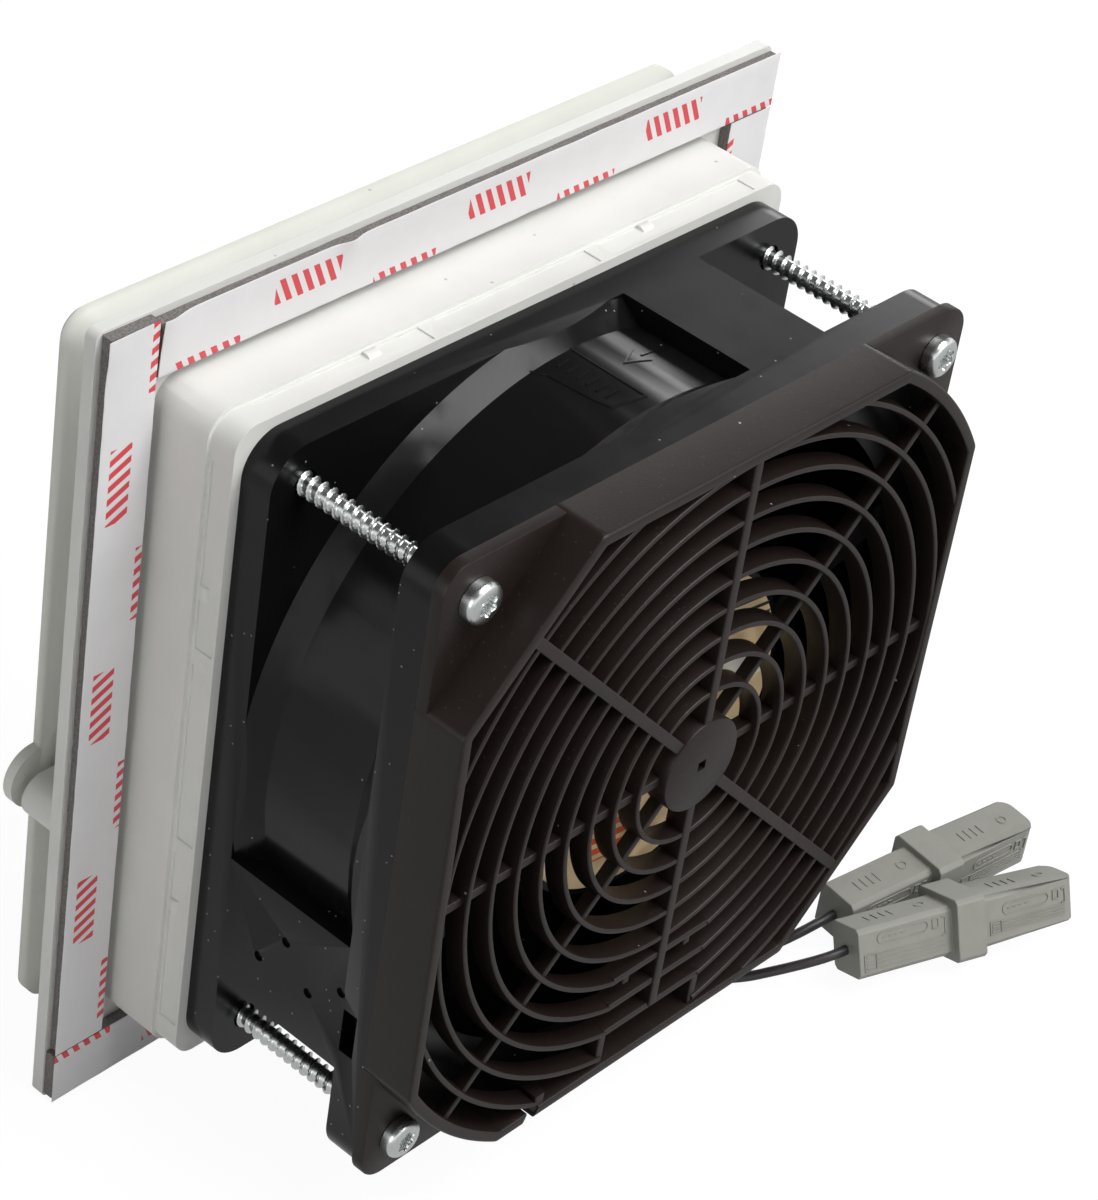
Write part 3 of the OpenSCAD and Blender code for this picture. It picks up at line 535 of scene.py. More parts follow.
def mat_fibre():
    finish = Finish("white_fibre")
    here = finish.place()
    threads = finish.noise(finish.stretched(here, (1, 1, 0.25)), 0.5, detail=4, rough=0.7)
    cross = finish.noise(finish.stretched(here, (0.25, 1, 1)), 0.5, detail=4, rough=0.7)
    weave = finish.maths("MAXIMUM", threads, cross)
    finish.set(base_color=finish.blend(weave, (0.62, 0.62, 0.6), (0.86, 0.86, 0.84)), roughness=0.95,
               normal=finish.bump(weave, 0.5))
    return finish.material


SHEATH = (0.018, 0.016, 0.017), (0.035, 0.031, 0.032)
CONNECTOR = (0.215, 0.215, 0.19), (0.265, 0.265, 0.238)
NATURAL = (0.7, 0.66, 0.52), (0.62, 0.58, 0.45)
foam_finish = tape_foam()
liner_finish = liner_paper()
mat_finish = mat_fibre()
sheath_finish = cloudy("black_sheath", SHEATH, (1.2, 3), (0.34, 0.2), (1.2, 3), 0.02, 0.5)
connector_finish = cloudy("connector_grey_plastic", CONNECTOR, (3.2, 3), (0.4, 0.18), (0.3, 2), 0.015, 0.7)
bobbin_finish = cloudy("bobbin_natural_plastic", NATURAL, (2, 2), (0.45, 0.1), (2, 2), 0.0, 0.0)
print("finishes:", len(bpy.data.materials))

# %% [markdown]
# The label on the motor plate shows through the guard as patches of gold and cream with an orange block.
# Each block is a band of X times a band of Z. A little emission stands for the light that the pale film
# catches between the rings.

# %% Label film
LABEL_TURN_DEG = 8
LABEL_GLOW = 0.05
CREAM_BLOCK, BAR_BLOCK, ORANGE_BLOCK = (-27, 5, 3, 8), (-24, -10, 14, 22), (-2, 8.5, -23, -13.5)
CREAM, BAR_BLACK, ORANGE = (0.86, 0.83, 0.74), (0.03, 0.025, 0.02), (0.85, 0.13, 0.03)


def label_film():
    """Gold film with a cream block, a block of bars and an orange one; a block is a product of two bands."""
    finish = Finish("label_film")
    turn = (0, math.radians(LABEL_TURN_DEG), 0)
    in_mm = (1 / MM, 1 / MM, 1 / MM)
    inputs = {"Vector": finish.place(), "Rotation": turn, "Scale": in_mm}
    x, _, z = finish.axes(finish.node("ShaderNodeMapping", {}, inputs))

    def block(x0, x1, z0, z1):
        return (x > x0) * (x < x1) * (z > z0) * (z < z1)

    cloud = finish.noise(finish.place(), 3, detail=2)
    gold = finish.blend(cloud, (0.84, 0.62, 0.33), (0.90, 0.70, 0.42))
    lines = finish.maths("FLOORED_MODULO", z, 1.9) < 0.7
    rungs = finish.maths("FLOORED_MODULO", z, 2.4) < 1.4
    colour = finish.blend(block(*CREAM_BLOCK), gold, CREAM)
    colour = finish.blend(block(*BAR_BLOCK) * lines, colour, BAR_BLACK)
    colour = finish.blend(block(*ORANGE_BLOCK) * rungs, colour, ORANGE)
    finish.set(base_color=colour, roughness=0.34 + 0.1 * cloud, emission_color=colour,
               emission_strength=LABEL_GLOW)
    return finish.material


label_finish = label_film()

# %% [markdown]
# The large mouldings are joined copies of their solids. The frame and the housing get rounded edges, so
# that their edges catch the light; the cover's thin slats, the impeller and the steel cup keep sharp ones.

# %% Frame, cover, housing and rotor
dressed("base_frame", "frame_moulding", frame_finish, "frame_plastic", round_mm=0.3)
dressed("louvre_cover", "louvre_moulding", cover_finish, "cover_plastic", "cover")
dressed("fan_housing", "housing_casting", housing_finish, "fan_plastic", round_mm=0.3)
dressed("impeller", "impeller_moulding", housing_finish, "fan_plastic", "rotor")
dressed("rotor_cup", "rotor_cup_steel", steel_finish, "lamination_steel", "rotor")

# %% [markdown]
# The finger guard is made anew, because its rings and spokes need crests finer than a solid can afford.
# Its outline is a distance from the axis for each angle: the nearest of the four sides, two cut corners
# and a round rim. Wall, corner plates, rings and bars are sections carried round or along that outline.

# %% Finger guard
guard_low, guard_high = node_box("finger_guard")
GUARD_FRONT, GUARD_BACK, GUARD_HALF = guard_low[1], guard_high[1], guard_high[0]
PLATE_T, PLATE_CORNER_R, PLATE_EDGE, CORNER_DEG = 2.2, 5.0, 0.3, 2.62
GUARD_WALL, WALL_MIDDLE, OUTER_EDGE, INNER_EDGE = 2.0, 1.0, 0.5, 0.3
CUT_REACH, RIM_R = 66.7, 69.5
RING_PITCH, RING_COUNT, RING_W = 5.43, 10, 1.5
RING_FRONT = GUARD_BACK - 3.9
RING_DROP = 0.25
SLOT_HALF, LOW_RINGS, BAR_RINGS = 11.5, 5, (5, 4, 3)
DISC_R, DISC_HOLE, DISC_RISE, DISC_EDGE = 8.5, 0.9, 0.15, 0.4
HOOK_X, HOOK_SLOT, HOOK_SLOT_DEPTH = 26.0, (1.2, 4.0), 5
CREST_EDGE = 0.28
RING_TOP_SHARE, EDGE_BEND = 0.62, 0.3
QUARTER = math.pi / 2


def outline(turn, inset):
    """Distance from the axis: the least of side / max(|cos|, |sin|), cut / |cos(turn - 45)| and the rim."""
    side = (GUARD_HALF - inset) / np.maximum(np.abs(np.cos(turn)), np.abs(np.sin(turn)))
    cut = (CUT_REACH - inset) / np.maximum(np.abs(np.cos(turn - QUARTER / 2)), 0.2)
    return np.minimum(np.minimum(side, cut), RIM_R - inset)


def ring_radius(k):
    return RIM_R - GUARD_WALL / 2 - k * RING_PITCH


def bar_z(k):
    return -math.sqrt(ring_radius(k) ** 2 - SLOT_HALF**2)


def polar(radius, turn, y):
    """Points at a distance from the fan's axis, an angle from X towards Z and a place along Y."""
    return np.stack([radius * np.cos(turn), y + 0 * radius, radius * np.sin(turn)], -1)


def crest_section(width, low, high, top_share=1.0):
    """A bar section (aside, y): sides that lean in to top_share of the width, a flat top, round edges."""
    arc = np.linspace(0, QUARTER, 5)
    flat = width * top_share / 2 - CREST_EDGE
    right = np.stack([flat + CREST_EDGE * np.cos(arc), high - CREST_EDGE + CREST_EDGE * np.sin(arc)], -1)
    left = right[::-1] * (-1, 1)
    return np.vstack([[(-width / 2, low), (width / 2, low)], right, left])


def wall_rows():
    """The raised wall: a profile of (inset, y) with rounded top edges, carried round the outline."""
    turn = np.linspace(0, 2 * math.pi, 721)
    slot = [math.atan2(-GUARD_HALF, HOOK_X + x) % (2 * math.pi) for x in HOOK_SLOT]
    beside = [a + b for a in slot for b in (-0.0004, 0.0004)]
    turn = np.sort(np.concatenate([turn, beside]))[:, None]
    arc = np.linspace(0, QUARTER, 5)
    outer = [(OUTER_EDGE * (1 - math.cos(a)), GUARD_BACK - OUTER_EDGE * (1 - math.sin(a))) for a in arc]
    inner_at = GUARD_WALL - INNER_EDGE
    inner = [(inner_at + INNER_EDGE * math.sin(a), GUARD_BACK - INNER_EDGE * (1 - math.cos(a))) for a in arc]
    inset, y = np.array([(0, GUARD_FRONT), *outer, *inner, (GUARD_WALL, GUARD_FRONT)]).T
    in_slot = (turn > slot[0]) & (turn < slot[1])
    height = np.where(in_slot, np.minimum(y, GUARD_BACK - HOOK_SLOT_DEPTH), y)
    return polar(outline(turn, inset), turn, height)


def plate_rows(middle, half):
    """One corner plate, from inside the wall out to the square's rounded corner, half to each side."""
    near_corner = np.radians(np.linspace(-2.6, 2.6, 21))
    turn = middle + np.sort(np.concatenate([np.linspace(-half, half, 33), near_corner]))[:, None]
    lean = np.abs(turn - middle)
    centre = (GUARD_HALF - PLATE_CORNER_R) * math.sqrt(2)
    half_chord = np.sqrt(np.maximum(PLATE_CORNER_R**2 - (centre * np.sin(lean)) ** 2, 0))
    fillet = centre * np.cos(lean) + half_chord
    square = GUARD_HALF / np.cos(QUARTER / 2 - lean)
    reach = np.minimum(np.where(lean < math.radians(CORNER_DEG), fillet, square), square)
    start = np.minimum(outline(turn, WALL_MIDDLE), reach - 0.2)
    top = GUARD_FRONT + PLATE_T
    bend = PLATE_EDGE * EDGE_BEND
    y = np.array([GUARD_FRONT, GUARD_FRONT, top - PLATE_EDGE, top - bend, top, top])
    radius = np.hstack([start, reach, reach, reach - bend, reach - PLATE_EDGE, start])
    return polar(radius, turn, y)


def ring_rows(k):
    """One ring; beyond the wall's middle it is held inside the wall, and low rings stop at the bar zone."""
    radius = ring_radius(k)
    open_half = math.asin(SLOT_HALF / min(radius, GUARD_HALF)) if k <= LOW_RINGS else 0
    turn = np.linspace(-QUARTER + open_half, 3 * QUARTER - open_half, 361)[:, None]
    aside, y = crest_section(RING_W, RING_FRONT, GUARD_BACK - RING_DROP, RING_TOP_SHARE).T
    return polar(np.minimum(radius, outline(turn, WALL_MIDDLE)) + aside, turn, y)


def bar_rows(start, end, width, drop):
    """A straight bar between two points (x, z), its crest drop millimetres under the guard's back."""
    start, end = np.array(start, float), np.array(end, float)
    way = (end - start) / np.linalg.norm(end - start)
    aside, y = crest_section(width, RING_FRONT, GUARD_BACK - drop).T
    flat = np.stack([start, end])[:, None] + aside[:, None] * np.array([-way[1], way[0]])
    return np.stack([flat[..., 0], y + 0 * flat[..., 0], flat[..., 1]], -1)


def disc_rows():
    """The middle disc as a lathe profile that ends in a small square hole."""
    turn = np.linspace(0, 2 * math.pi, 73)[:, None]
    hole = DISC_HOLE / np.maximum(np.abs(np.cos(turn)), np.abs(np.sin(turn)))
    top = GUARD_BACK + DISC_RISE
    bend = DISC_EDGE * EDGE_BEND
    rim = [(DISC_R, RING_FRONT), (DISC_R, top - DISC_EDGE), (DISC_R - bend, top - bend),
           (DISC_R - DISC_EDGE, top)]
    radius = np.hstack([0 * turn + r for r, _ in rim] + [hole, hole, hole])
    y = np.array([h for _, h in rim] + [top, top - 3, RING_FRONT])
    return polar(radius, turn, y)


# A spoke is (angle in degrees, width, drop) and a bar (start, end, width, drop); low spokes drop more.
SPOKES = [
    (0, 1.7, 1.3), (180, 1.7, 1.3), (90, 1.9, 0.1), (45, 2.0, 0.15), (225, 2.0, 0.15), (-45, 1.3, 1.6),
    (135, 1.3, 1.6),
]
LOWEST_BAR, FIRST_BAR = bar_z(BAR_RINGS[-1]), bar_z(BAR_RINGS[0])
FOOT = WALL_MIDDLE - GUARD_HALF
BARS = [((0, 1 - DISC_R), (0, LOWEST_BAR), 1.9, 0.1)]
for z in map(bar_z, BAR_RINGS):
    BARS.append(((-SLOT_HALF, z), (SLOT_HALF, z), 1.3, 0.4))
    BARS.append(((-SLOT_HALF, z - 1.15), (SLOT_HALF, z - 1.15), 1.2, 1.7))
BARS += [((x, LOWEST_BAR + 0.6), (x, FOOT), 1.7, 0.6) for x in (-SLOT_HALF, SLOT_HALF)]
BARS += [((x, FIRST_BAR - 2.6), (x, FIRST_BAR - 1.0), 1.6, 1) for x in (-7.5, 7.5)]
BARS.append(((HOOK_X, FOOT), (HOOK_X, FOOT + 3.2), 2.2, 0.3))

parts = [(wall_rows(), False), (disc_rows(), False)]
CUT_HALF = QUARTER / 2 - math.atan2(math.sqrt(2) * CUT_REACH - GUARD_HALF, GUARD_HALF)
RIM_HALF = QUARTER / 2 - math.acos(GUARD_HALF / RIM_R)
parts += [(plate_rows(QUARTER * (i + 0.5), (CUT_HALF, RIM_HALF)[i % 2]), True) for i in range(4)]
parts += [(ring_rows(k), k <= LOW_RINGS) for k in range(1, RING_COUNT + 1)]
for turn_deg, width, drop in SPOKES:
    turn = math.radians(turn_deg)
    reach = float(outline(turn, WALL_MIDDLE))
    way = np.array([math.cos(turn), math.sin(turn)])
    parts.append((bar_rows(way * (DISC_R - 1), way * reach, width, drop), True))
parts += [(bar_rows(*bar), True) for bar in BARS]

points, faces = joined([(rows, sweep(rows, capped)) for rows, capped in parts])
guard = piece("guard_moulding", points, faces, guard_finish, "guard_plastic", sharp_deg=40)
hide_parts("finger_guard")

# %% [markdown]
# The inner pieces are hidden or nearly so. They stay as they are in the solid model and only get their
# finish.

# %% Finishes of the inner solids
KEPT = {
    "mat_grid": frame_finish, "hinge_pins": zinc_finish, "stator_core": steel_finish,
    "stator_coils": copper_finish, "coil_bobbin": bobbin_finish, "bearing_front": zinc_finish,
    "bearing_rear": zinc_finish, "rotor_core": steel_finish, "rotor_shaft": zinc_finish,
    "retaining_ring": steel_finish, "lead_grommet": sheath_finish,
}
for name, finish in KEPT.items():
    solid = NODES[name]
    if not solid.material_slots:
        solid.data.materials.append(None)
    for place in solid.material_slots:
        place.link = "OBJECT"
        place.material = finish
print(len(KEPT), "solids keep their own mesh")

# %% [markdown]
# Each of the four screws is one surface: the radius is a function of the angle and of the place along the
# screw. On the shank the radius follows a helix, with narrow crests and wide roots, as on a screw that
# forms its own thread in plastic. The head is a low dome with a six-lobed socket.

# %% Screws
HEAD_R, HEAD_SEAT = 3.5, 56.6
screw_low, screw_high = node_box("guard_screws")
SCREW_AT, SCREW_TIP, HEAD_TOP = screw_high[0] - HEAD_R, screw_low[1], screw_high[1]
THREAD_R, CORE_R, THREAD_PITCH = 2.0, 1.38, 1.78
THREAD_FROM, THREAD_TO, THREAD_FADE = 17.0, 53.0, 1.5
THREAD_SHARE, THREAD_POWER = 0.2, 0.8
TIP_R, TIP_LENGTH, UNDERHEAD_R = 0.3, 3, 1.6
RIM_SHARE, DOME_SHARE, DOME_IN, DOME_END_R = 0.55, 0.43, 1.1, 2.25
LOBE_R, LOBE_WAVE, SOCKET_DEPTH = 1.62, 0.26, 1.5
SOCKET_STEPS = [(0, 1.06), (0.12, 1.0), (SOCKET_DEPTH, 0.97), (SOCKET_DEPTH + 0.3, 0.35)]
SCREW_SIDES, TURN_POINTS = 48, 16


def screw_surface(x, z):
    """Rows of points (angle, place along Y) from the tip to the bottom of the socket."""
    angle = np.linspace(0, 2 * math.pi, SCREW_SIDES, endpoint=False)[None, :]
    count = int((THREAD_TO - THREAD_FROM) / THREAD_PITCH * TURN_POINTS)
    y = np.linspace(THREAD_FROM, THREAD_TO, count)[:, None]
    turn = (y / THREAD_PITCH - angle / (2 * math.pi)) % 1
    crest = np.clip(1 - np.abs(turn - 0.5) / THREAD_SHARE, 0, 1) ** THREAD_POWER
    fade = np.clip(np.minimum(y - THREAD_FROM, THREAD_TO - y) / THREAD_FADE, 0, 1)
    thread = CORE_R + (THREAD_R - CORE_R) * crest * fade
    lobes = LOBE_R + LOBE_WAVE * np.cos(6 * angle)
    ring = np.ones_like(angle)
    rim = HEAD_TOP - HEAD_SEAT
    head = [(0, UNDERHEAD_R), (0, HEAD_R - 0.25), (0.1, HEAD_R), (RIM_SHARE * rim, HEAD_R)]
    head += [(rim * (RIM_SHARE + DOME_SHARE * math.sin(a)), HEAD_R - DOME_IN * (1 - math.cos(a)))
             for a in np.linspace(0, QUARTER, 7)[1:-2]]
    head += [(rim - 0.02, DOME_END_R)]
    rows_y = [ring * SCREW_TIP, ring * (SCREW_TIP + TIP_LENGTH), *(y + 0 * angle)]
    rows_r = [ring * TIP_R, ring * CORE_R, *thread, *[ring * r for _, r in head]]
    rows_y += [ring * (HEAD_SEAT + at) for at, _ in head]
    rows_y += [ring * (HEAD_TOP - down) for down, _ in SOCKET_STEPS]
    rows_r += [lobes * share for _, share in SOCKET_STEPS]
    along_y = np.vstack([np.atleast_2d(r) for r in rows_y])
    radius = np.vstack([np.atleast_2d(r) for r in rows_r])
    return np.stack([x + radius * np.sin(angle), along_y, z + radius * np.cos(angle)], axis=-1)


corners = [(sx * SCREW_AT, sz * SCREW_AT) for sx in (-1, 1) for sz in (-1, 1)]
points, faces = joined([(rows, sweep(rows)) for rows in (screw_surface(x, z) for x, z in corners)])
screws = piece("threaded_screws", points, faces, zinc_finish, "bright_steel", sharp_deg=50)
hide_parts("guard_screws")

# %% [markdown]
# The sealing tape is four strips of foam, each with its paper liner. A strip is a section carried along
# the side of the flange. Foam cut with a knife is never quite straight, so smooth waves move its edges a
# little. Each strip is turned by a quarter from the one before. The paper reaches a little past the foam.

# %% Tape and liners
QUARTERS = {"latch_side": 0, "top": 1, "hinge_side": 2, "bottom": 3}
TAPE_INNER, TAPE_OUTER = 63.85, 73.85
TAPE_WIDTH = TAPE_OUTER - TAPE_INNER
TAPE_END_GAP = 0.3
FOAM_SHORT, FOAM_TOP, FOAM_EDGE = 0.7, 1.98, 0.18
PAPER_LOW, PAPER_TOP, PAPER_EDGE = 2.0, 2.14, 0.06
FOAM_WAVE, PAPER_WAVE = 0.08, 0.06


def turned(points, quarter):
    """Turns points about the fan's axis by quarters, from X towards Z."""
    angle = math.radians(90 * quarter)
    x, y, z = np.moveaxis(points, -1, 0)
    cos, sin = math.cos(angle), math.sin(angle)
    return np.stack([x * cos - z * sin, y, x * sin + z * cos], -1)


def waves(t, seed, size):
    """Sum of four sines with seeded lengths and phases; t in mm, the result about plus or minus size."""
    draw = np.random.default_rng(seed)
    length = draw.uniform(3, 34, 4)
    phase = draw.uniform(0, 2 * math.pi, 4)
    return size / 2.5 * sum(np.sin(2 * math.pi * t / a + b) for a, b in zip(length, phase))


def slab_section(width, low, high, corner):
    """Closed rounded rectangle, width x (high - low): points (across, up) from the inner lower corner on."""
    w = np.linspace(corner, width - corner, 10)[1:-1]
    arc = np.linspace(0, QUARTER, 4)

    def bend(cx, cy, start):
        return np.stack([cx + corner * np.cos(arc + start), cy + corner * np.sin(arc + start)], -1)

    side = np.linspace(low + corner, high - corner, 4)[1:-1]
    return np.vstack([
        bend(corner, low + corner, math.pi), np.stack([w, 0 * w + low], -1),
        bend(width - corner, low + corner, -QUARTER), np.stack([0 * side + width, side], -1),
        bend(width - corner, high - corner, 0), np.stack([w[::-1], 0 * w + high], -1),
        bend(corner, high - corner, QUARTER), np.stack([0 * side, side[::-1]], -1)])


def strip_rows(section, run, seed, edge_wave, lift=None):
    """The section at each place of run, its edges moved in by waves; lift(run, share) raises it along Y."""
    across, up = section[None, :, 0], section[None, :, 1]
    share = across / section[:, 0].max()
    inward = np.abs(waves(run, seed, edge_wave))[:, None] * share
    outward = np.abs(waves(run, seed + 1, edge_wave))[:, None] * (1 - share)
    x = TAPE_INNER + across - inward + outward
    y = up + 0 * run[:, None]
    if lift is not None:
        y = y + lift(run[:, None], share)
    return np.stack([x, y, run[:, None] + 0 * x], -1)


def tape_strip(name, quarter):
    run = np.linspace(-TAPE_INNER + TAPE_END_GAP, TAPE_OUTER, 150)
    section = slab_section(TAPE_WIDTH - FOAM_SHORT, 0.0, FOAM_TOP, FOAM_EDGE)
    rows = turned(strip_rows(section, run, 10 * quarter, FOAM_WAVE), quarter)
    made = piece("foam_" + name, rows, sweep(rows), foam_finish, "tape_foam", sharp_deg=50)
    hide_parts("gasket_" + name)


# Where the paper has come loose on each strip: (place, reach, height, power towards the outer edge).
LIFTS = {
    0: [(72.0, 4.0, 0.35, 1.5)],
    1: [(-62.5, 3.0, 0.8, 1.5), (-26.0, 2.2, 0.7, 3.0)],
    2: [],
    3: [(-62.5, 3.0, 0.4, 1.0)],
}


def liner_strip(name, quarter):
    """Paper on the foam; at each place in LIFTS it rises by height exp(-((t - place) / reach)^2)."""
    run = np.linspace(-TAPE_INNER + TAPE_END_GAP, TAPE_OUTER, 220)
    section = slab_section(TAPE_WIDTH, PAPER_LOW, PAPER_TOP, PAPER_EDGE)

    def lift(along_strip, share):
        rise = 0.03 + waves(along_strip, 5 + quarter, 0.02)
        for place, reach, height, power in LIFTS[quarter]:
            bell = np.exp(-(((along_strip - place) / reach) ** 2))
            rise = rise + height * bell * share ** power
        return rise

    rows = turned(strip_rows(section, run, 40 + 10 * quarter, PAPER_WAVE, lift), quarter)
    made = piece("paper_" + name, rows, sweep(rows), liner_finish, "liner_paper", sharp_deg=50)
    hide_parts("liner_" + name)
    mesh = made.data
    spots = np.zeros(len(mesh.vertices) * 3)
    mesh.vertices.foreach_get("co", spots)
    flat = turned(spots.reshape(-1, 3) / MM, -quarter)
    corner = np.zeros(len(mesh.loops), int)
    mesh.loops.foreach_get("vertex_index", corner)
    layer = mesh.uv_layers.new(name="strip")
    layer.data.foreach_set("uv", np.stack([flat[corner, 2], flat[corner, 0] - TAPE_INNER], -1).ravel())


for name, quarter in QUARTERS.items():
    tape_strip(name, quarter)
    liner_strip(name, quarter)

# %% [markdown]
# The filter mat is a pad of fibres. Its surface is a polar grid over a rounded square: the first half of
# the profile runs from the middle of the front to the edge, the second half back to the middle of the
# rear. Low waves hollow its two faces. The label is a lathe profile on the motor plate.

# %% Filter mat and motor label
mat_low, mat_high = node_box("filter_mat")
MAT_RINGS, MAT_SIDES = 40, 240
MAT_CORNER_R, MAT_EDGE, MAT_RIPPLE = 6, 0.8, 0.5
LABEL_SIDES = 128


def rounded_square(angle, half, corner):
    """Radius of a square with round corners, as a superellipse whose power grows as the corner shrinks."""
    power = 2 + 3 * half / corner / 2
    return half / (np.abs(np.cos(angle)) ** power + np.abs(np.sin(angle)) ** power) ** (1 / power)


def pad(half, low, high, edge, ripple):
    """Polar grid: radius from 0 to the outline and back, height low then high, hollowed by three waves."""
    angle = np.linspace(0, 2 * math.pi, MAT_SIDES, endpoint=False)[None, :]
    out = np.linspace(0.02, 1, MAT_RINGS)[:, None]
    reach = rounded_square(angle, half, MAT_CORNER_R)
    r = np.vstack([out * (reach - edge), np.repeat(reach, 2, 0), out[::-1] * (reach - edge)])
    faces = np.full(MAT_RINGS, low), [low + edge, high - edge], np.full(MAT_RINGS, high)
    y = np.concatenate(faces)[:, None]
    x, z = r * np.cos(angle), r * np.sin(angle)
    wave = np.sin(x * 0.9) * np.sin(z * 1.1 + 1)
    wave = wave + 0.6 * np.sin(x * 2.3 + z * 1.7) + 0.6 * np.sin(z * 2.9 - x * 1.3)
    inside = np.where(y < (low + high) / 2, 1, -1)
    y = y + inside * ripple * (1 + wave / 2.2) / 2
    return np.stack([x, y, z], -1)


rows = pad(mat_high[0], mat_low[1], mat_high[1], MAT_EDGE, MAT_RIPPLE)
mat = piece("fibre_mat", rows, sweep(rows), mat_finish, "filter_fibre")
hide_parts("filter_mat")

label_low, label_high = node_box("motor_label")
foot, top, rim = label_low[1] + 0.02, label_high[1], label_high[0]
angle = np.linspace(0, 2 * math.pi, LABEL_SIDES, endpoint=False)[None, :]
profile = np.array([(0.5, foot), (rim - 0.05, foot), (rim, foot + 0.08), (rim - 0.08, top), (rim * 0.6, top),
                    (0.5, top)])
radius, y = profile[:, :1], profile[:, 1:] + 0 * angle
rows = np.stack([radius * np.sin(angle), y, radius * np.cos(angle)], -1)
label = piece("motor_label_film", rows, sweep(rows), label_finish, "label_paper")
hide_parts("motor_label")

# %% [markdown]
# Fine raised marks are ridges: a small trapezoid carried along lines that are drawn flat and then wrapped
# onto the surface. The barrel carries two arrows, one for the turning and one for the air, and a few bars.


# %% Raised marks
def ridge(lines, width, height, wrap, foot=0.15):
    """A trapezoid ridge along each piece of each line (u, v); wrap(u, v, h) gives points at height h."""
    parts = []
    for line in lines:
        p = np.array(line, float)
        step = np.diff(p, axis=0)
        way = step / np.linalg.norm(step, axis=1, keepdims=True)
        side = np.stack([-way[:, 1], way[:, 0]], -1)
        bend = np.vstack([side[:1], side[:-1] + side[1:], side[-1:]])
        bend /= np.sum(bend * np.vstack([side[:1], side]), axis=1, keepdims=True)
        p[0] -= way[0] * width / 2
        p[-1] += way[-1] * width / 2
        offset = np.array([-0.5, -0.3, 0.3, 0.5])[None, :, None] * width
        flat = p[:, None] + offset * bend[:, None]
        up = np.array([-foot, height, height, -foot])[None, :] + 0 * flat[..., 0]
        rows = wrap(flat[..., 0], flat[..., 1], up)
        parts.append((rows, sweep(rows)))
    return joined(parts)


def box_line(u0, v0, u1, v1):
    return [(u0, v0), (u1, v0), (u1, v1), (u0, v1), (u0, v0)]


def fine(line, step=0.6):
    """The line with extra points at most step apart, so that it can follow a curved surface."""
    p = np.array(line, float)
    count = np.maximum(1, np.ceil(np.linalg.norm(np.diff(p, axis=0), axis=1) / step)).astype(int)
    shares = [np.linspace(0, 1, n, endpoint=False)[:, None] for n in count]
    return np.vstack([a + (b - a) * share for a, b, share in zip(p[:-1], p[1:], shares)] + [p[-1:]])


BARREL_R = 57.6
BARREL_LINE_W, BARREL_LINE_H = 0.42, 0.16


def on_barrel(u, v, h):
    """u along X over the top of the barrel, v along Y, h outwards."""
    turn = u / BARREL_R
    return np.stack([(BARREL_R + h) * np.sin(turn), v, (BARREL_R + h) * np.cos(turn)], -1)


AIR_ARROW = [(0.8, 25.7), (0.9, 41.9), (6.9, 40.4), (7.6, 37.3), (8.4, 28.3), (9.8, 25.9), (0.8, 25.7)]
TURN_ARROW = [
    [(-7.7, 35.3), (-3.3, 33.8), (-7.5, 31.8)],
    [(-7.6, 33.6), (-14.4, 33.5)],
    [(-14.4, 32.4), (-19.5, 32.2)],
]
SMALL_BARS = [[(3.4, v), (5.6, v)] for v in np.arange(28.2, 38.2, 2.0)]
marks = [fine(line) for line in [AIR_ARROW, *TURN_ARROW, *SMALL_BARS]]
points, faces = ridge(marks, BARREL_LINE_W, BARREL_LINE_H, on_barrel)
piece("barrel_marks", points, faces, housing_finish, "fan_plastic")

# %% [markdown]
# The connectors are two-piece housings. Copies of the solids with rounded edges carry rows of fine raised
# lines, an outlined slot and a small frame on each broad side, as such housings do. The marks are drawn in
# millimetres along one housing and then turned and moved to the end of its lead.

# %% Connectors
ROUTES = {1: LEAD_1_ROUTE, 2: LEAD_2_ROUTE}
YAW_ROLL_DEG = {1: (19, 25), 2: (8, 0)}
PLUG_LENGTH, PLUG_W, PLUG_H = 19.5, 8.4, 9.3
CAP_START, CAP_LENGTH, CAP_ROOT_W, CAP_W = 25.5, 20.5, 9.8, 8.8
CAP_H, CAP_DROP = 8.0, 0.8
MARK_W, MARK_H = 0.3, 0.15


def at_plug(points, number):
    """Turns points drawn along +X by the roll about X and the yaw about Z, and moves them to the lead."""
    yaw, roll = YAW_ROLL_DEG[number]
    x, y, z = np.moveaxis(points, -1, 0)
    a, b = math.radians(-roll), math.radians(180 - yaw)
    y, z = y * math.cos(a) - z * math.sin(a), y * math.sin(a) + z * math.cos(a)
    x, y = x * math.cos(b) - y * math.sin(b), x * math.sin(b) + y * math.cos(b)
    return np.stack([x, y, z], -1) + np.array(ROUTES[number][-1])


def stadium(u0, u1, v, r):
    """Outline of a slot with round ends."""
    turn = np.linspace(-math.pi / 2, math.pi / 2, 9)
    right = np.stack([u1 - r + r * np.cos(turn), v + r * np.sin(turn)], -1)
    left = np.stack([u0 + r - r * np.cos(turn), v - r * np.sin(turn)], -1)
    return np.vstack([right, left, right[:1]])


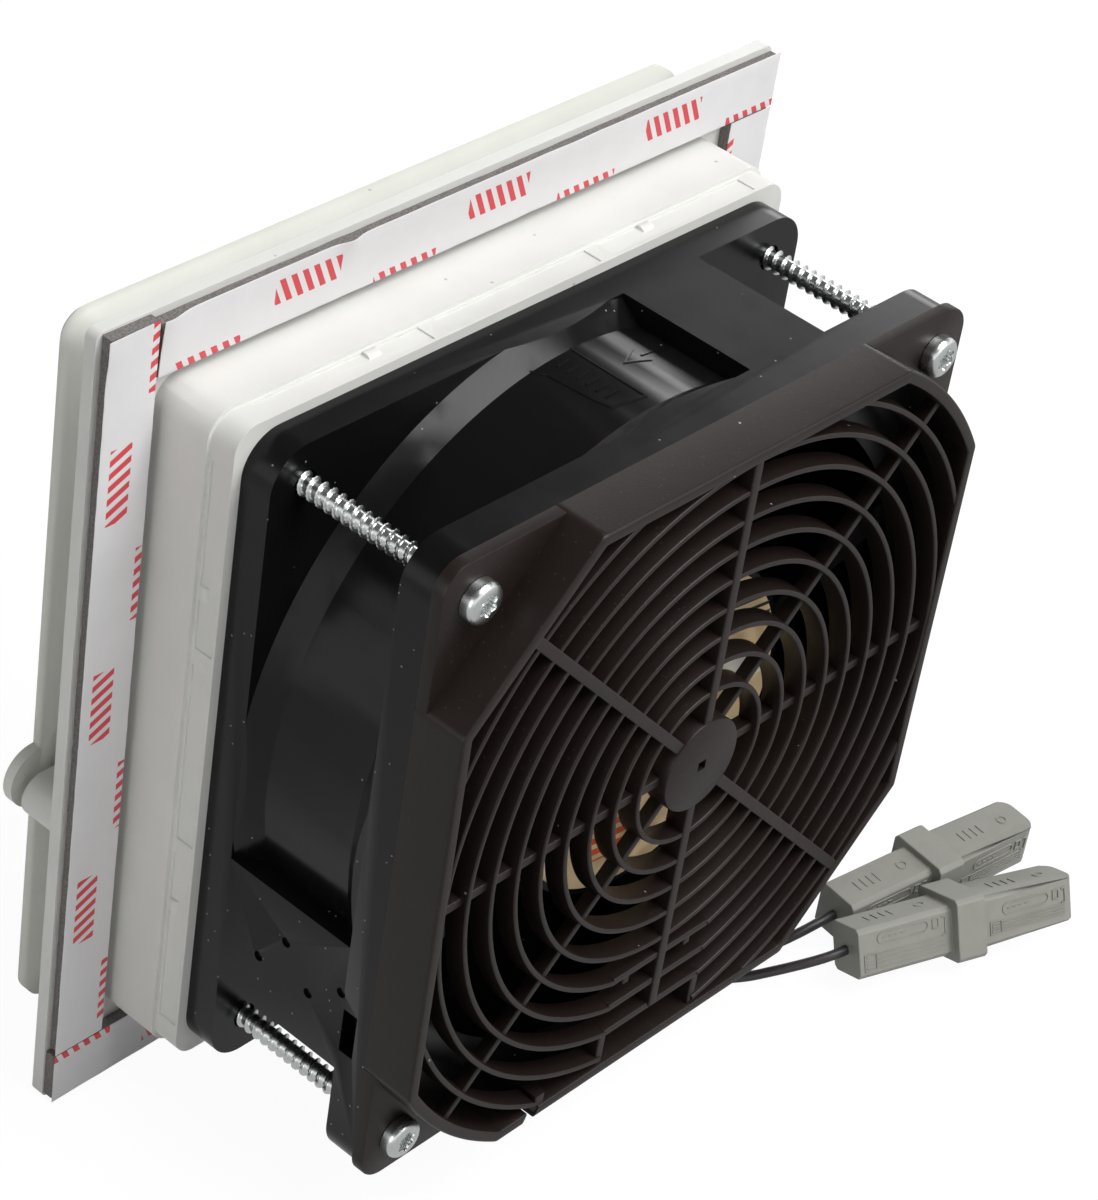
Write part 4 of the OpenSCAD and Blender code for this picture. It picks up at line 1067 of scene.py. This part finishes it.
def side_marks(u0, u1, v0, v1):
    """Marks of one broad side: a slot above, four lines below that end in a small frame with bars."""
    middle = (v0 + v1) / 2
    slot_v, r = v1 - 1.7, 0.95
    frame_u = u0 + 3.0
    lines = [stadium(u0 + 3.4, u1 - 4.6, slot_v, r)]
    lines += [[(u0 + 4.6 + 1.3 * i, slot_v), (u0 + 5.2 + 1.3 * i, slot_v)] for i in range(4)]
    lines += [[(frame_u, v), (u1 - 1.2, v)] for v in np.linspace(v0 + 1.0, middle - 0.5, 4)]
    lines += [box_line(u0 + 0.6, v0 + 0.8, frame_u, middle - 0.2)]
    lines += [[(u0 + 1.1, v), (frame_u - 0.5, v)] for v in np.linspace(v0 + 1.3, middle - 0.7, 4)]
    lines += [box_line(u1 - 3.6, slot_v - 0.8, u1 - 2.4, slot_v + 0.8)]
    bracket = box_line(u1 - 1.6, middle - 0.2, u1 - 1.0, v1 - 0.9)[:4]
    return lines + [bracket]


def top_marks(u0, u1):
    """Marks of one narrow side: four bars and a circle."""
    ring = np.linspace(0, 2 * math.pi, 17)
    circle = np.stack([u1 - 3.5 + 0.9 * np.cos(ring), 0.9 * np.sin(ring)], -1)
    return [circle] + [[(u0 + 4 + 1.6 * i, -1.0), (u0 + 4 + 1.6 * i, 1.0)] for i in range(4)]


def plug_marks(number):
    """Ridges on the four sides of the plug and of its cap, whose sides lean in towards its end."""
    parts = []
    lean_w, lean_h = (CAP_ROOT_W - CAP_W) / 2 / CAP_LENGTH, CAP_DROP / CAP_LENGTH
    plug = 0.5, PLUG_LENGTH - 0.5, PLUG_W / 2, PLUG_H / 2, 0, 0, 0
    cap_from, cap_to = CAP_START + 1, CAP_START + CAP_LENGTH - 1.5
    cap = cap_from, cap_to, CAP_ROOT_W / 2, CAP_H / 2, lean_w, lean_h, CAP_DROP
    for u0, u1, half_w, half_h, in_w, in_h, rise in (plug, cap):
        for sign in (-1, 1):
            def on_side(u, v, h):
                return np.stack([u, sign * (half_w - in_w * (u - u0) + h), v], -1)

            def on_top(u, v, h):
                return np.stack([u, v, sign * (half_h + rise - in_h * (u - u0) + h)], -1)

            sides = side_marks(u0, u1, -half_h + 0.7, half_h - 0.7)
            parts.append(ridge(sides, MARK_W, MARK_H, on_side))
            parts.append(ridge(top_marks(u0, u1), MARK_W, MARK_H, on_top))
    points, faces = joined(parts)
    name = f"plug_{number}_marks"
    return piece(name, at_plug(points, number), faces, connector_finish, "connector_plastic")


for number, route in ROUTES.items():
    look = connector_finish, "connector_plastic"
    body = dressed(f"plug_{number}_body", f"connector_{number}_body", *look, round_mm=0.25)
    cap = dressed(f"plug_{number}_cap", f"connector_{number}_cap", *look, round_mm=0.2)
    lead(f"lead_{number}_cable", route, [body, cap, plug_marks(number)])

# %% [markdown]
# The floor is white and keeps a soft shadow. Most of what the camera sees of it is plain white light, and
# the rest is lit like any surface, so that the shadow shows.

# %% Floor
FLOOR_HALF = 3.0
SHADOW_SHARE = 0.12
FLOOR_IN_GLOSS = 0.55
CAMERA_WHITE, FLOOR_TONE = 1.08, 0.6
FLOOR_GAP = 0.0002
floor_z = cad_box[0][2] - FLOOR_GAP


def floor_white():
    finish = Finish("floor_white")
    tree = finish.tree
    path = finish.node("ShaderNodeLightPath", out="Is Camera Ray")
    gloss = finish.maths("MAXIMUM", path.out("Is Glossy Ray"), path.out("Is Transmission Ray"))
    finish.set(base_color=(FLOOR_TONE, FLOOR_TONE, FLOOR_TONE), roughness=0.9, specular_ior_level=0.0)
    strength = path * CAMERA_WHITE + gloss * FLOOR_IN_GLOSS
    light = finish.node("ShaderNodeEmission", {}, {"Color": (1, 1, 1), "Strength": strength})
    share = finish.maths("MAXIMUM", path * (1 - SHADOW_SHARE), gloss)
    mixed = finish.node("ShaderNodeMixShader", {}, {0: share})
    tree.links.new(finish.shader.outputs[0], mixed.socket.node.inputs[1])
    tree.links.new(light.socket, mixed.socket.node.inputs[2])
    tree.links.new(mixed.socket, tree.nodes["Material Output"].inputs["Surface"])
    return finish.material


floor_mesh = bpy.data.meshes.new("floor")
signs = (-1, -1), (1, -1), (1, 1), (-1, 1)
corners = [(x * FLOOR_HALF, y * FLOOR_HALF, floor_z) for x, y in signs]
floor_mesh.from_pydata(corners, [], [(0, 1, 2, 3)])
floor = bpy.data.objects.new("floor", floor_mesh)
SCENE.collection.objects.link(floor)
floor_mesh.materials.append(floor_white())
print("floor at", round(floor_z / MM, 1), "mm")

# %% [markdown]
# The light is a wide soft lamp overhead, weaker ones from behind, from one side and from the front, and a
# plain world. The world is white to the camera, to mirrors near the horizon and through glass; overhead it
# is darker, as in a studio with a dark ceiling, so that black gloss stays black on top.

# %% Lamps and world
# Each lamp is (name, place in metres, what it points at, side of its square in metres, watts).
LAMPS = [
    ("top_lamp", (-0.25, 0.6, 1.1), (0, 0.02, 0), 0.9, 17.0),
    ("back_lamp", (-1.0, -0.6, 0.42), (0, 0.02, 0), 0.4, 1.6),
    ("side_lamp", (1.3, 0.2, 0.25), (0, 0.05, 0), 0.5, 2.2),
    ("front_lamp", (-0.45, 1.2, 0.5), (0, 0.05, 0), 0.45, 3.2),
]
for name, at, target, side, power in LAMPS:
    lamp = bpy.data.objects.new(name, bpy.data.lights.new(name, "AREA"))
    lamp.data.shape = "SQUARE"
    lamp.data.size = side
    lamp.data.energy = power
    lamp.location = at
    lamp.rotation_euler = (Vector(target) - Vector(at)).to_track_quat("-Z", "Y").to_euler()
    SCENE.collection.objects.link(lamp)

AMBIENT = 0.25
BACKDROP_IN_GLOSS = 1.1
CEILING = (0.35, 1.0), (0.55, 0.1)
world = bpy.data.worlds.new("studio")
SCENE.world = world
sky = Finish("studio", owner=world)
background = sky.tree.nodes["Background"]
path = sky.node("ShaderNodeLightPath", out="Is Camera Ray")
mirror = sky.maths("MAXIMUM", path.out("Is Glossy Ray"), path.out("Is Transmission Ray"))
_, _, height = sky.axes(sky.node("ShaderNodeTexCoord", out="Generated"))
ceiling = sky.ramp(height, *CEILING)
strength = path + (1 - path) * (mirror * ceiling * BACKDROP_IN_GLOSS + (1 - mirror) * AMBIENT)
sky.feed(background.inputs["Color"], (1, 1, 1))
sky.feed(background.inputs["Strength"], strength)
print("lamps:", [lamp[0] for lamp in LAMPS])
